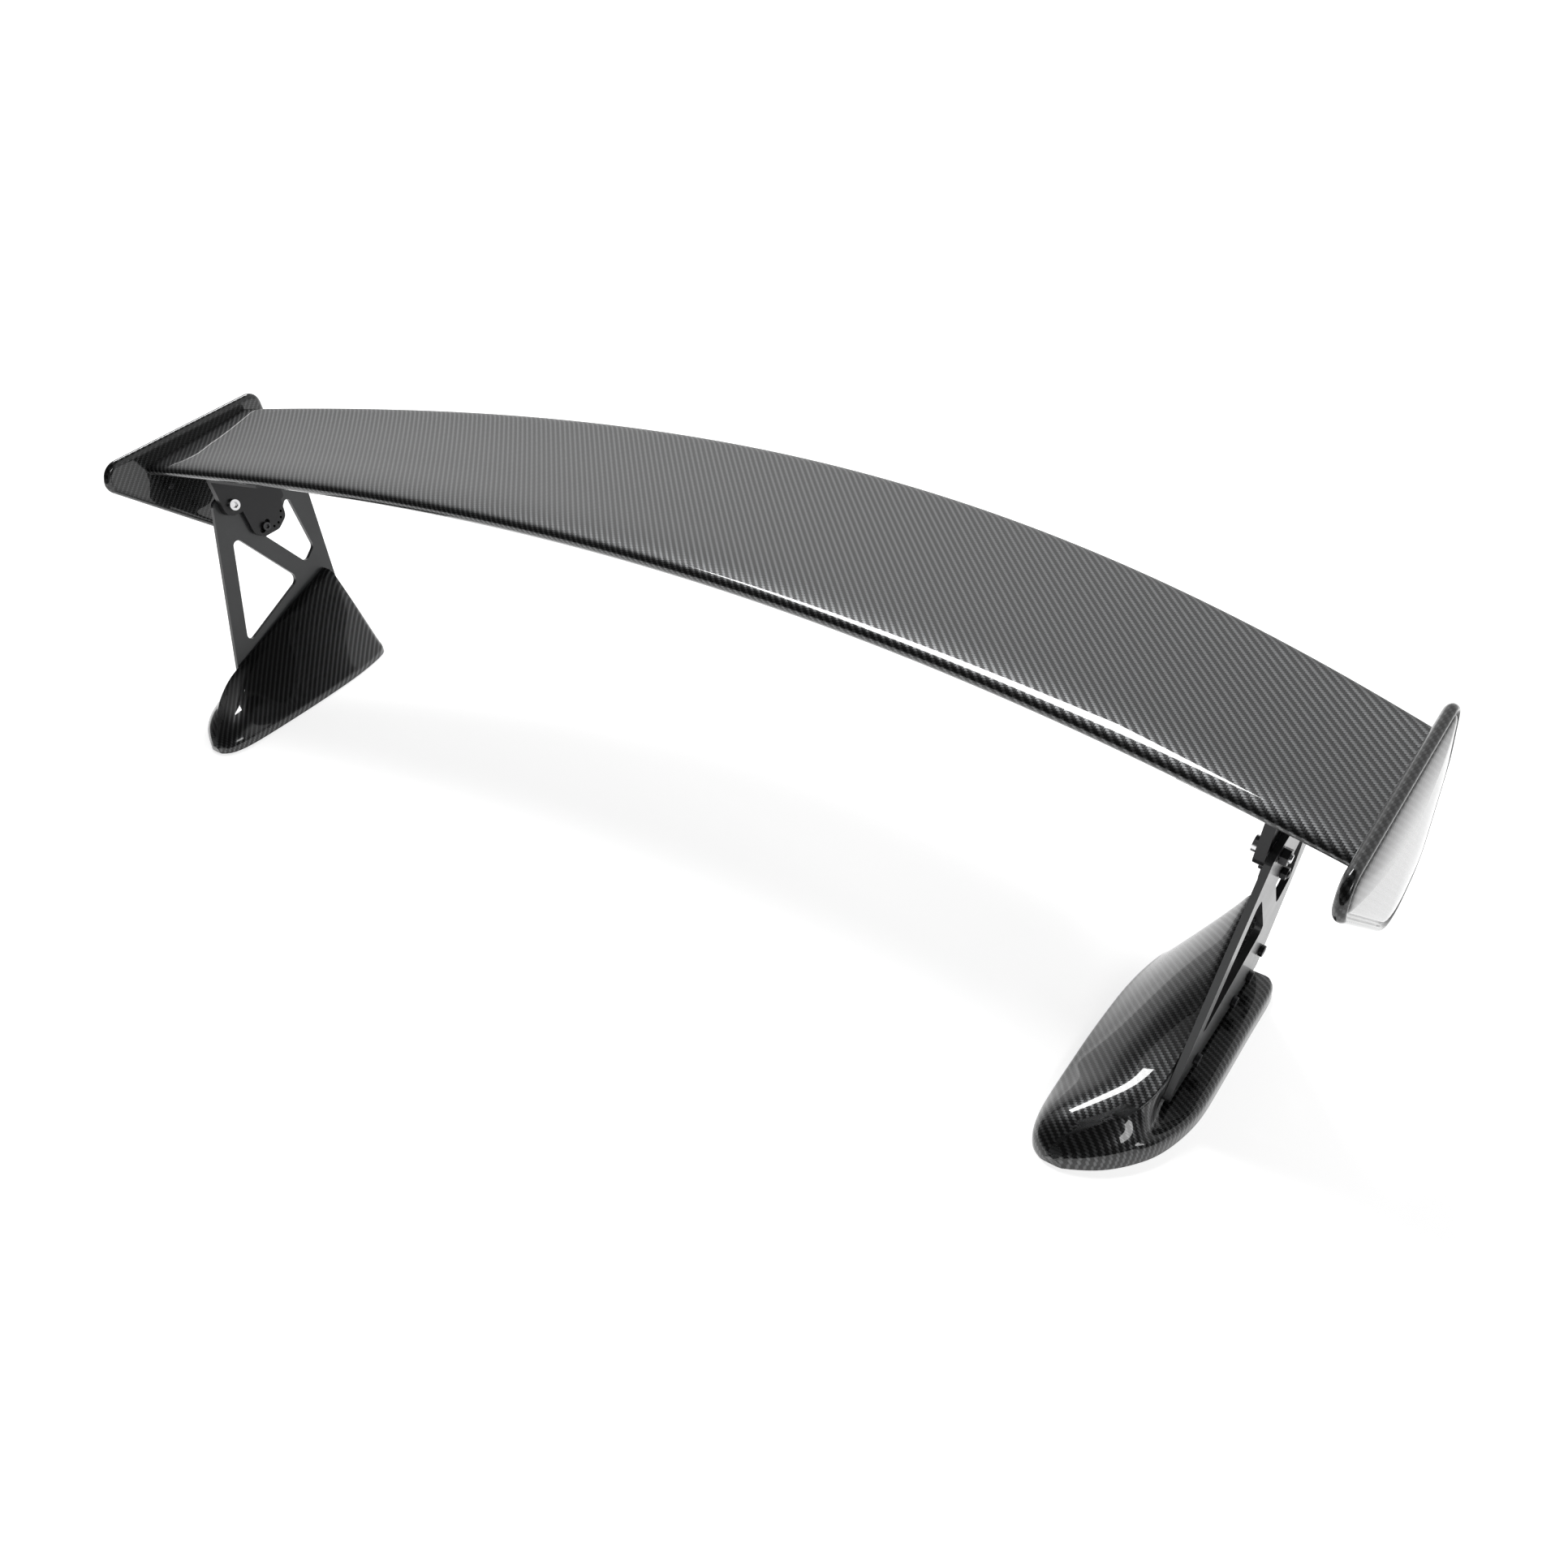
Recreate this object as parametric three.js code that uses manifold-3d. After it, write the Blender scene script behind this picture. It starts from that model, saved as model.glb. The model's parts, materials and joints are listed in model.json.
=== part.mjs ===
// Racing rear wing: a carbon blade with two endplates, carried by two flat uprights on two carbon pedestals.
// Millimetres. +X runs along the span, +Y to the rear (the way the air leaves), +Z up. The pedestals stand on z = 0.
// Everything but the blade, its spar and the fasteners' numbers comes in a right and a left copy, mirrored in x = 0.
import * as THREE from "three";
import { mergeVertices } from "three/addons/utils/BufferGeometryUtils.js";
import Module from "manifold-3d";

const wasm = await Module();
wasm.setup();

// Driving dimensions -------------------------------------------------------------------------------------------
const gap = 0.3; // daylight between touching pieces
const halfSpan = 742; // centre line to the blade's cut end

// Blade: the nose and the trailing edge are even curves in span; the tips reach forward.
const noseY = 224;
const noseSweep = 95;
const noseZ = [294, 288]; // centre, tip
const tailY = 479;
const tailSweep = 195;
const tailZ = [295, 306]; // centre, tip
const thickness = 0.145; // of the chord
const camber = 0.05; // of the chord, bulging downwards
const camberAt = 0.4;
const tailEdge = 0.7; // half thickness of the trailing edge
const skin = 2.2;
const sparBack = 41; // from the nose to the spar's middle
const sparThick = 5;
const ribThick = 12;
const stations = 22; // along the whole span
const ringHalf = 15; // points along the top or the underside of one section

// Endplates: outline in side view, from the top front corner round by the rear; each with its corner radius.
const endplateOutline = [
  [83, 316, 24],
  [311, 321, 17],
  [314, 262, 60],
  [282, 180, 45],
  [214, 156, 60],
  [73, 288, 16],
];
const rimDepth = 11; // the moulded edge stands this far out from the blade's end
const bulge = 5; // the outer face swells this far beyond the rim
const grooveDepth = 2.6;

// Uprights: flat plates that lean outwards at the top. Outlines are [y, z, corner radius].
const lean = Math.atan(0.158);
const footX = 636.5; // where the plate's mid-plane would meet z = 0
const plate = 6;
const uprightOutline = [
  [80, 21, 4],
  [158.5, 246, 12],
  [196, 251, 26],
  [290, 234, 9],
  [262.5, 21, 4],
];
const lowerWindow = [
  [117, 68, 6],
  [163, 200, 7],
  [222, 110, 10],
];
const upperWindow = [
  [202, 182, 3.5],
  [226, 182, 12],
  [256, 214, 5],
  [260.5, 137, 9],
  [241, 123, 7],
];
const pivot = [177.5, 235.4];
const adjuster = [206.5, 192];
const wallBolts = [
  [127, 34],
  [203, 32],
  [236, 33],
  [246, 59],
];

// Brackets between the blade and the uprights.
const bracketGap = 1.4; // daylight between a bracket and its upright, filled by a spacer at the pivot
const lobePlate = 5;
const armPlate = 9;
const flangeThick = 4;
const flangeInner = 590; // x of the flange's free end
const flangeFront = 13; // along the chord from the nose
const flangeDepth = 74;
const swing = 7; // degrees the adjusting slot allows either way
const armOutline = [
  [163.5, 290, 0],
  [163.5, 222.5, 12],
  [190, 222.5, 12],
  [246, 213, 5],
  [246, 290, 0],
];
const lobeOutline = [
  [187, 232, 0],
  [189, 190, 10],
  [200, 180.5, 8],
  [223, 180.5, 13],
  [239, 191, 12],
  [244, 222, 0],
];
const lobeHoles = [
  [218, 186.5],
  [225.5, 188],
  [231.5, 192.5],
  [235, 199.5],
];

// Pedestals: plan edges as [y, inner x, outer x], then the height of the ridge as [y, z].
const planEdges = [
  [-7, 575, 590],
  [-1, 564, 603],
  [9, 557, 620],
  [26, 552.5, 638],
  [50, 550.5, 654],
  [92, 549, 665],
  [140, 548.5, 665.5],
  [200, 551, 664.5],
  [248, 561, 664],
  [260, 574, 659],
];
const ridge = [
  [-7, 7],
  [-1, 16],
  [9, 23],
  [26, 31],
  [50, 38.5],
  [92, 52],
  [140, 68],
  [200, 88],
  [248, 103],
  [260, 107],
];
const midDepth = (planEdges[0][0] + tailY) / 2; // half way along the object, put on y = 0
const crestWidth = 18; // the ridge's flat top at the rear
const shelf = 16;
const skirt = 10;
const shell = 3;
const wallStart = 74; // y where the ridge meets the upright's plane
const basePlate = 5;
const backing = 5;

// Fasteners: thread radius, head radius and head height.
const small = { thread: 2.5, head: 4.6, height: 3 };
const medium = { thread: 3, head: 5.4, height: 4 };
const large = { thread: 4, head: 7, height: 5 };

// Materials ------------------------------------------------------------------------------------------------------
const carbon = new THREE.MeshStandardMaterial({ name: "carbon", color: 0x1b1c1e, roughness: 0.15 });
const blackAlloy = new THREE.MeshStandardMaterial({ name: "black_alloy", color: 0x17181a, roughness: 0.45 });
const alloy = new THREE.MeshStandardMaterial({ name: "alloy", color: 0xa9abad, metalness: 1, roughness: 0.4 });
const steel = new THREE.MeshStandardMaterial({ name: "steel", color: 0xc4c6c8, metalness: 1, roughness: 0.25 });
const blackSteel = new THREE.MeshStandardMaterial({ name: "black_steel", color: 0x202124, roughness: 0.4 });

// Small tools ----------------------------------------------------------------------------------------------------
const mix = (a, b, t) => a + (b - a) * t;

const spread = (from, to, n) => Array.from({ length: n + 1 }, (_, i) => mix(from, to, i / n));

function toSolid(geometry) {
  const bare = geometry.clone();
  bare.deleteAttribute("normal");
  bare.deleteAttribute("uv");
  const merged = mergeVertices(bare, 1e-4);
  return new wasm.Manifold(
    new wasm.Mesh({
      numProp: 3,
      vertProperties: merged.attributes.position.array,
      triVerts: new Uint32Array(merged.index.array),
    }),
  );
}

function toGeometry(solid) {
  const mesh = solid.getMesh();
  const geometry = new THREE.BufferGeometry();
  geometry.setAttribute("position", new THREE.BufferAttribute(new Float32Array(mesh.vertProperties), 3));
  geometry.setIndex(new THREE.BufferAttribute(new Uint32Array(mesh.triVerts), 1));
  return geometry;
}

const cut = (geometry, ...tools) => toGeometry(tools.reduce((s, t) => s.subtract(toSolid(t)), toSolid(geometry)));

const join = (geometry, ...others) => toGeometry(others.reduce((s, t) => s.add(toSolid(t)), toSolid(geometry)));

// A polygon whose corners carry their own radii, as a THREE shape.
function roundedShape(corners) {
  const shape = new THREE.Shape();
  const n = corners.length;
  corners.forEach(([x, y, radius], i) => {
    const here = new THREE.Vector2(x, y);
    const back = new THREE.Vector2(...corners[(i + n - 1) % n].slice(0, 2)).sub(here).normalize();
    const on = new THREE.Vector2(...corners[(i + 1) % n].slice(0, 2)).sub(here).normalize();
    const half = Math.acos(THREE.MathUtils.clamp(back.dot(on), -1, 1)) / 2;
    const run = radius / Math.tan(half);
    const from = here.clone().addScaledVector(back, run);
    const to = here.clone().addScaledVector(on, run);
    if (i) shape.lineTo(from.x, from.y);
    else shape.moveTo(from.x, from.y);
    if (!radius) return;
    const centre = here.clone().addScaledVector(back.clone().add(on).normalize(), radius / Math.sin(half));
    const clockwise = back.cross(on) > 0;
    shape.absarc(
      centre.x,
      centre.y,
      radius,
      Math.atan2(from.y - centre.y, from.x - centre.x),
      Math.atan2(to.y - centre.y, to.x - centre.x),
      clockwise,
    );
  });
  shape.closePath();
  return shape;
}

// The corner points of a path, without repeats.
const outlinePoints = (path) =>
  path.getPoints(5).filter((p, i, all) => p.distanceTo(all[(i + 1) % all.length]) > 0.01);

// Rings of the same number of points, joined into a closed body. Each end is closed flat, with a fan round its
// middle where the outline is wide and simple.
function loft(rings, fan = false) {
  const n = rings[0].length;
  const positions = rings.flat(2);
  const index = [];
  for (let r = 0; r + 1 < rings.length; r++) {
    for (let i = 0; i < n; i++) {
      const a = r * n + i;
      const b = r * n + ((i + 1) % n);
      index.push(a, b, b + n, a, b + n, a + n);
    }
  }
  const cap = (ring, start, sense, axes) => {
    if (fan) {
      const middle = positions.length / 3;
      positions.push(...ring[0].map((_, k) => ring.reduce((sum, p) => sum + p[k] / n, 0)));
      for (let i = 0; i < n; i++) {
        const a = start + i;
        const b = start + ((i + 1) % n);
        index.push(middle, sense < 0 ? b : a, sense < 0 ? a : b);
      }
      return;
    }
    const flat = ring.map((p) => new THREE.Vector2(p[axes[0]], p[axes[1]]));
    const way = Math.sign(THREE.ShapeUtils.area(flat)) * sense;
    for (const [a, b, c] of THREE.ShapeUtils.triangulateShape(flat, [])) {
      const swap = THREE.ShapeUtils.area([flat[a], flat[b], flat[c]]) * way < 0;
      index.push(start + a, start + (swap ? c : b), start + (swap ? b : c));
    }
  };
  const first = rings[0];
  const last = rings[rings.length - 1];
  const extent = (k) => Math.max(...first.map((p) => p[k])) - Math.min(...first.map((p) => p[k]));
  const across = [0, 1, 2].reduce((a, b) => (extent(b) < extent(a) ? b : a));
  const axes = [0, 1, 2].filter((k) => k !== across);
  cap(first, 0, -1, axes);
  cap(last, (rings.length - 1) * n, 1, axes);
  const geometry = new THREE.BufferGeometry();
  geometry.setAttribute("position", new THREE.Float32BufferAttribute(positions, 3));
  geometry.setIndex(index);
  return outward(geometry);
}

// Turns a closed body's faces outwards if they point in.
function outward(geometry) {
  const p = geometry.attributes.position;
  const index = geometry.index.array;
  const v = [new THREE.Vector3(), new THREE.Vector3(), new THREE.Vector3()];
  let volume = 0;
  for (let i = 0; i < index.length; i += 3) {
    v.forEach((q, k) => q.fromBufferAttribute(p, index[i + k]));
    volume += v[0].dot(v[1].clone().cross(v[2]));
  }
  return volume < 0 ? flipped(geometry) : geometry;
}

function flipped(geometry) {
  const index = Array.from(geometry.index.array);
  for (let i = 0; i < index.length; i += 3) {
    [index[i + 1], index[i + 2]] = [index[i + 2], index[i + 1]];
  }
  return geometry.clone().setIndex(index);
}

// The left-hand copy of a right-hand body.
function mirrored(geometry) {
  const indexed = geometry.index ? geometry : mergeVertices(geometry);
  return flipped(indexed.clone().applyMatrix4(new THREE.Matrix4().makeScale(-1, 1, 1)));
}

// Blade ----------------------------------------------------------------------------------------------------------
const spanPart = (x) => (x / halfSpan) ** 2;

function chordLine(x) {
  const t = spanPart(x);
  const nose = new THREE.Vector2(noseY - noseSweep * t, mix(...noseZ, t));
  const tail = new THREE.Vector2(tailY - tailSweep * t, mix(...tailZ, t));
  const chord = nose.distanceTo(tail);
  const along = tail.clone().sub(nose).normalize();
  return { nose, along, chord, across: new THREE.Vector2(-along.y, along.x) };
}

const camberDrop = (s) =>
  s < camberAt
    ? (camber / camberAt ** 2) * (2 * camberAt * s - s * s)
    : (camber / (1 - camberAt) ** 2) * (1 - 2 * camberAt + 2 * camberAt * s - s * s);

const halfThick = (s) =>
  5 * thickness * (0.2969 * Math.sqrt(s) - 0.126 * s - 0.3516 * s * s + 0.2843 * s ** 3 - 0.1036 * s ** 4);

const bladeHalf = (s, chord) => halfThick(s) * chord + tailEdge * s;

// A point of the section at x: s along the chord, off = the distance from the mean line, side = +1 top, -1 underside.
function sectionPoint(x, s, off) {
  const { nose, along, across, chord } = chordLine(x);
  const lift = -camberDrop(s) * chord + off;
  return [x, nose.x + along.x * s * chord + across.x * lift, nose.y + along.y * s * chord + across.y * lift];
}

// The chordwise run over which a skin of this depth leaves a cavity.
function cavityRun(chord, depth) {
  const find = (lo, hi) => {
    for (let i = 0; i < 30; i++) {
      const mid = (lo + hi) / 2;
      if (bladeHalf(mid, chord) > depth) hi = mid;
      else lo = mid;
    }
    return hi;
  };
  return [find(0, 0.3) + depth / chord / 2, find(1, 0.3)];
}

// The section at x as a ring: the outer skin, or its hollow at a depth; grow swells it to keep others off.
function ring(x, depth, grow = 0) {
  const { chord } = chordLine(x);
  const [from, to] = depth ? cavityRun(chord, depth + 0.3) : [0, 1];
  const points = [];
  for (let i = -ringHalf; i <= ringHalf; i++) {
    const s = mix(from, to, 1 - Math.cos((Math.abs(i) / ringHalf) * (Math.PI / 2)));
    const off = Math.max(bladeHalf(s, chord) - depth, depth ? 0.25 : 0) + grow;
    if (depth || i) points.push(sectionPoint(x, s, i < 0 ? off : -off));
    else points.push(sectionPoint(x, 0, 0));
  }
  return points;
}

const bladeStations = spread(-halfSpan, halfSpan, stations);

// The hollow skin is open at both ends, where the end ribs close it.
function bladeSkin() {
  const outer = loft(bladeStations.map((x) => ring(x, 0)));
  const hollow = [-halfSpan - 1, ...bladeStations.slice(1, -1), halfSpan + 1];
  const inner = loft(hollow.map((x) => ring(THREE.MathUtils.clamp(x, -halfSpan, halfSpan), skin)
    .map(([, y, z]) => [x, y, z])));
  return cut(outer, inner, ...flangeScrews().flatMap((s) => [s.shaft, mirrored(s.shaft)]));
}

// A closed section between two places along the chord (mm from the nose), kept off the skin by the given depth.
function slab(x, from, to, depth) {
  const { chord } = chordLine(x);
  const steps = 4;
  const at = spread(from / chord, to / chord, steps);
  const top = at.map((s) => sectionPoint(x, s, bladeHalf(s, chord) - depth));
  const under = at.map((s) => sectionPoint(x, s, depth - bladeHalf(s, chord)));
  return [...top, ...under.reverse()];
}

function spar() {
  const end = halfSpan - ribThick - 2 * gap;
  const xs = [-end, ...bladeStations.slice(1, -1), end];
  return loft(xs.map((x) => slab(x, sparBack - sparThick / 2, sparBack + sparThick / 2, skin + gap)));
}

function endRib() {
  const xs = [halfSpan - ribThick, halfSpan];
  return loft(xs.map((x) => ring(x, skin + gap)));
}

// Screws that hold a bracket's flange to the block inside the blade, square to the underside.
function flangeScrews() {
  const xs = [flangeInner + 16, flangeInner + 66];
  const depths = [flangeFront + flangeDepth - 30, flangeFront + flangeDepth - 8];
  const list = [];
  for (const x of xs) {
    for (const d of depths) {
      const { chord } = chordLine(x);
      const s = d / chord;
      const under = new THREE.Vector3(...sectionPoint(x, s, -bladeHalf(s, chord)));
      const ahead = new THREE.Vector3(...sectionPoint(x, s + 0.02, -bladeHalf(s + 0.02, chord)));
      const beside = new THREE.Vector3(...sectionPoint(x + 4, s, -bladeHalf(s, chord)));
      const up = beside.sub(under).cross(ahead.sub(under)).normalize();
      if (up.z < 0) up.negate();
      const seat = under.clone().addScaledVector(up, -gap - flangeThick);
      list.push({
        seat,
        up,
        shaft: placed(new THREE.CylinderGeometry(small.thread + gap, small.thread + gap, 26, 16), under, up),
      });
    }
  }
  return list;
}

// Puts a body made along +Y onto a point, with its +Y along a direction.
function placed(geometry, at, direction) {
  const turn = new THREE.Quaternion().setFromUnitVectors(new THREE.Vector3(0, 1, 0), direction);
  return geometry.applyQuaternion(turn).translate(at.x, at.y, at.z);
}

function mountBlock() {
  const xs = spread(flangeInner + 4, flangeInner + 82, 3);
  const from = sparBack + sparThick / 2 + 2 * gap;
  return loft(xs.map((x) => {
    const { chord } = chordLine(x);
    const closes = cavityRun(chord, skin + 4 * gap)[1] * chord; // where the skins run together
    return slab(x, from, Math.min(flangeFront + flangeDepth, closes), skin + gap);
  }));
}

// Endplate -------------------------------------------------------------------------------------------------------
function endplate() {
  const outline = outlinePoints(roundedShape(endplateOutline));
  const n = outline.length;
  const centre = outline.reduce((s, p) => s.add(p), new THREE.Vector2()).divideScalar(n);
  const inset = (d, toCentre = 0) =>
    outline.map((p, i) => {
      const side = outline[(i + 1) % n].clone().sub(outline[(i + n - 1) % n]).normalize();
      const inward = new THREE.Vector2(-side.y, side.x);
      if (inward.dot(centre.clone().sub(p)) < 0) inward.negate();
      return p.clone().addScaledVector(inward, d).lerp(centre, toCentre);
    });
  const x0 = halfSpan + gap;
  const layers = [
    [x0, 6, 0],
    [x0 + 1.6, 2.8, 0],
    [x0 + 4, 0.6, 0],
    [x0 + rimDepth - 4.5, 0, 0],
    [x0 + rimDepth - 1.5, 0.9, 0],
    [x0 + rimDepth, 3.4, 0],
    [x0 + rimDepth - grooveDepth, 6.5, 0],
    [x0 + rimDepth - grooveDepth + 0.8, 9, 0],
    [x0 + mix(rimDepth, rimDepth + bulge, 0.55), 10, 0.2],
    [x0 + mix(rimDepth, rimDepth + bulge, 0.9), 10, 0.47],
    [x0 + rimDepth + bulge, 10, 0.75],
  ];
  return loft(layers.map(([x, d, c]) => inset(d, c).map((p) => [x, p.x, p.y])), true);
}

// Upright's plane ------------------------------------------------------------------------------------------------
const plateUp = new THREE.Vector3(Math.sin(lean), 0, Math.cos(lean));
const plateOut = new THREE.Vector3(Math.cos(lean), 0, -Math.sin(lean));
const plateFrame = new THREE.Matrix4()
  .makeBasis(new THREE.Vector3(0, 1, 0), plateUp, plateOut)
  .setPosition(footX, 0, 0);

// [y, z] seen from the side becomes [y, distance up the leaning plate].
const onPlate = ([y, z, r = 0]) => [y, z / Math.cos(lean), r];

// A flat piece on the plate's frame, from one distance outwards to another.
function flat(corners, from, to, holes = []) {
  const edge = outlinePoints(roundedShape(corners.map(onPlate)));
  const shape = new THREE.Shape(THREE.ShapeUtils.isClockWise(edge) ? edge.reverse() : edge);
  holes.forEach((h) => shape.holes.push(new THREE.Path(outlinePoints(h))));
  const geometry = new THREE.ExtrudeGeometry(shape, { depth: to - from, bevelEnabled: false });
  return mergeVertices(bared(geometry.translate(0, 0, from).applyMatrix4(plateFrame)));
}

function bared(geometry) {
  geometry.deleteAttribute("normal");
  geometry.deleteAttribute("uv");
  return geometry;
}

function roundHole([y, z], radius) {
  const [u, v] = onPlate([y, z]);
  return new THREE.Path().absarc(u, v, radius, 0, Math.PI * 2, true);
}

// A body made along +Y from the origin, set on the plate's frame with +Y outwards.
function acrossPlate(geometry, [y, z], from) {
  const [u, v] = onPlate([y, z]);
  return geometry.rotateX(Math.PI / 2).translate(u, v, from).applyMatrix4(plateFrame);
}

const windowPath = (corners) => roundedShape(corners.map(onPlate));

function upright() {
  return flat(uprightOutline, -plate / 2, plate / 2, [
    windowPath(lowerWindow),
    windowPath(upperWindow),
    roundHole(pivot, large.thread + gap),
    roundHole(adjuster, medium.thread + gap),
    ...wallBolts.map((b) => roundHole(b, medium.thread + gap)),
  ]);
}

// Bracket --------------------------------------------------------------------------------------------------------
// The curved slot lets the bracket turn about the pivot while the adjusting bolt stays where it is.
function adjustingSlot() {
  const [pu, pv] = onPlate(pivot);
  const [au, av] = onPlate(adjuster);
  const radius = Math.hypot(au - pu, av - pv);
  const mid = Math.atan2(av - pv, au - pu);
  const turn = THREE.MathUtils.degToRad(swing);
  const half = medium.thread + gap + 0.2;
  const path = new THREE.Path();
  const end = (a) => [pu + radius * Math.cos(a), pv + radius * Math.sin(a)];
  path.absarc(pu, pv, radius + half, mid - turn, mid + turn, false);
  path.absarc(...end(mid + turn), half, mid + turn, mid + turn + Math.PI, false);
  path.absarc(pu, pv, radius - half, mid + turn, mid - turn, true);
  path.absarc(...end(mid - turn), half, mid - turn + Math.PI, mid - turn + 2 * Math.PI, false);
  return path;
}

function bracket() {
  const outer = -plate / 2 - bracketGap;
  const lobe = flat(lobeOutline, outer - lobePlate, outer, [
    adjustingSlot(),
    ...lobeHoles.map((h) => roundHole(h, 1.7)),
  ]);
  const arm = flat(armOutline, outer - armPlate, outer, [roundHole(pivot, large.thread + gap)]);
  const xs = spread(flangeInner, footX + 30, 3);
  const flange = loft(xs.map((x) => {
    const { chord } = chordLine(x);
    const at = spread(flangeFront / chord, (flangeFront + flangeDepth) / chord, 6);
    const high = at.map((s) => sectionPoint(x, s, -bladeHalf(s, chord) - gap));
    const low = at.map((s) => sectionPoint(x, s, -bladeHalf(s, chord) - gap - flangeThick));
    return [...high, ...low.reverse()];
  }));
  const blade = loft(bladeStations.filter((x) => x > flangeInner - 100).map((x) => ring(x, 0, gap)));
  const above = new THREE.BoxGeometry(200, 400, 60).translate(footX, 200, noseZ[1] + 30);
  const keepOff = new THREE.BoxGeometry(400, 400, 60).translate(200, 280, outer + 30).applyMatrix4(plateFrame);
  const screwHoles = flangeScrews().map((s) => s.shaft);
  return cut(join(arm, lobe, flange), blade, above, keepOff, ...screwHoles);
}

// Pedestal -------------------------------------------------------------------------------------------------------
function between(table, y, column) {
  const curve = new THREE.SplineCurve(table.map((row) => new THREE.Vector2(row[0], row[column])));
  let lo = 0;
  let hi = 1;
  for (let i = 0; i < 24; i++) {
    const mid = (lo + hi) / 2;
    if (curve.getPoint(mid).x < y) lo = mid;
    else hi = mid;
  }
  return curve.getPoint(lo).y;
}

const wallX = (z) => footX + Math.tan(lean) * z - (plate / 2 + gap) / Math.cos(lean);

// One cross-section of a pedestal, drawn in by the wall thickness for the hollow.
function pedestalRing(y, wall, drop) {
  const inner = between(planEdges, y, 1) + wall;
  const outer = between(planEdges, y, 2) - wall;
  const top = between(ridge, y, 1) - wall;
  const ledge = Math.min(shelf, between(ridge, y, 1) * 0.72) - wall;
  const rise = Math.min(skirt, top * 0.45);
  const free = THREE.MathUtils.smoothstep(y, 0, wallStart);
  const crest = mix(mix(inner, outer, 0.5), wallX(top) - wall, free);
  const wallFoot = mix(mix(crest, outer, 0.55), wallX(ledge) - wall, free);
  const points = [
    [inner, drop],
    [inner, rise * 0.55],
    [inner + 1.2, rise * 0.85],
    [inner + 4, rise + 1],
  ];
  const flankFrom = [inner + 4, rise + 1];
  const shoulder = crest - mix(4, crestWidth, THREE.MathUtils.smoothstep(y, 92, 250));
  for (const u of [0.2, 0.4, 0.6, 0.8, 0.94]) {
    const full = Math.sin((u * Math.PI) / 2);
    const swell = mix(full, u + 0.02 * Math.sin(u * Math.PI), THREE.MathUtils.smoothstep(y, 20, 170));
    points.push([mix(flankFrom[0], shoulder - 1, u), mix(flankFrom[1], top - 1.5, swell)]);
  }
  points.push([shoulder + 1, top - 0.4]);
  points.push([crest - 1.6, top]);
  points.push([crest, top - 1]);
  points.push([mix(crest, wallFoot, 0.5) - 0.1, mix(top, ledge, 0.5)]);
  points.push([wallFoot, ledge + 1]);
  points.push([wallFoot + 1.5, ledge]);
  points.push([mix(wallFoot, outer, 0.6), ledge - 0.3]);
  const round = Math.min(7, ledge * 0.6);
  points.push([outer - 3, ledge - round * 0.2]);
  points.push([outer - 0.8, ledge - round * 0.55]);
  points.push([outer, ledge - round]);
  points.push([outer, drop]);
  return points.map(([x, z]) => [x, y, z]);
}

function pedestal() {
  const last = planEdges[planEdges.length - 1][0];
  const ys = [-7, -5, -1, 4, 9, 17, 26, 38, 50, 62, wallStart, 92, 116, 140, 170, 200, 225, 248, last - 3];
  const rings = ys.map((y) => pedestalRing(y, 0, 0));
  const end = pedestalRing(last, 1.2, 0);
  const outer = loft([...rings, end]);
  const hollowYs = [6, 12, 26, 50, wallStart, 92, 116, 140, 170, 200, 225, 248, last - shell - 1];
  const inner = loft(hollowYs.map((y) => pedestalRing(y, shell, -1)));
  const holes = wallBolts.map((b) =>
    acrossPlate(new THREE.CylinderGeometry(medium.thread + gap, medium.thread + gap, 14, 12), b, -plate / 2 - 5),
  );
  return cut(outer, inner, ...holes);
}

function planRing(z, off) {
  const ys = [50, wallStart, 92, 116, 140, 170, 200, 225, 236];
  const side = (column, sign) => ys.map((y) => {
    const x = between(planEdges, y, column) + sign * off;
    return [x, y, z];
  });
  return [...side(1, 1), ...side(2, -1).reverse()];
}

function pedestalBase() {
  const body = loft([planRing(0, shell + 3 * gap), planRing(basePlate, shell + 3 * gap)]);
  const tapped = [70, 205].map((y) =>
    new THREE.CylinderGeometry(large.thread, large.thread, 20, 20).rotateX(Math.PI / 2).translate(607, y, 0),
  );
  return cut(body, ...tapped);
}

function backingPlate() {
  const outer = -plate / 2 - gap - shell / Math.cos(lean) - 2 * gap;
  const strip = [
    [114, 23, 3],
    [114, 44, 3],
    [227, 45, 3],
    [236, 70, 3],
    [254, 71, 3],
    [254, 22, 3],
  ];
  return flat(strip, outer - backing, outer, wallBolts.map((b) => roundHole(b, medium.thread + gap / 2)));
}

// Fasteners ------------------------------------------------------------------------------------------------------
// A socket-head bolt along +Y: the head sits above y = 0 and the shank runs down from it.
function bolt({ thread, head, height }, length) {
  const profile = [
    [0, -length],
    [thread - 0.6, -length],
    [thread, -length + 0.6],
    [thread, 0],
    [head, 0],
    [head, height - 0.6],
    [head - 0.6, height],
    [0, height],
  ].map(([r, y]) => new THREE.Vector2(r, y));
  const body = outward(mergeVertices(bared(new THREE.LatheGeometry(profile, 14))));
  const socket = new THREE.CylinderGeometry(head * 0.5, head * 0.5, height * 1.1, 6).translate(0, height, 0);
  return cut(body, socket);
}

function nut(thread, across, height) {
  const body = new THREE.CylinderGeometry(across / Math.sqrt(3), across / Math.sqrt(3), height, 6);
  const bore = new THREE.CylinderGeometry(thread + gap / 2, thread + gap / 2, height * 2, 16);
  return cut(body.translate(0, height / 2, 0), bore.translate(0, height / 2, 0));
}

function washer(thread, outer, height) {
  const body = new THREE.CylinderGeometry(outer, outer, height, 18);
  const bore = new THREE.CylinderGeometry(thread + gap / 2, thread + gap / 2, height * 2, 16);
  return cut(body.translate(0, height / 2, 0), bore.translate(0, height / 2, 0));
}

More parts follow.
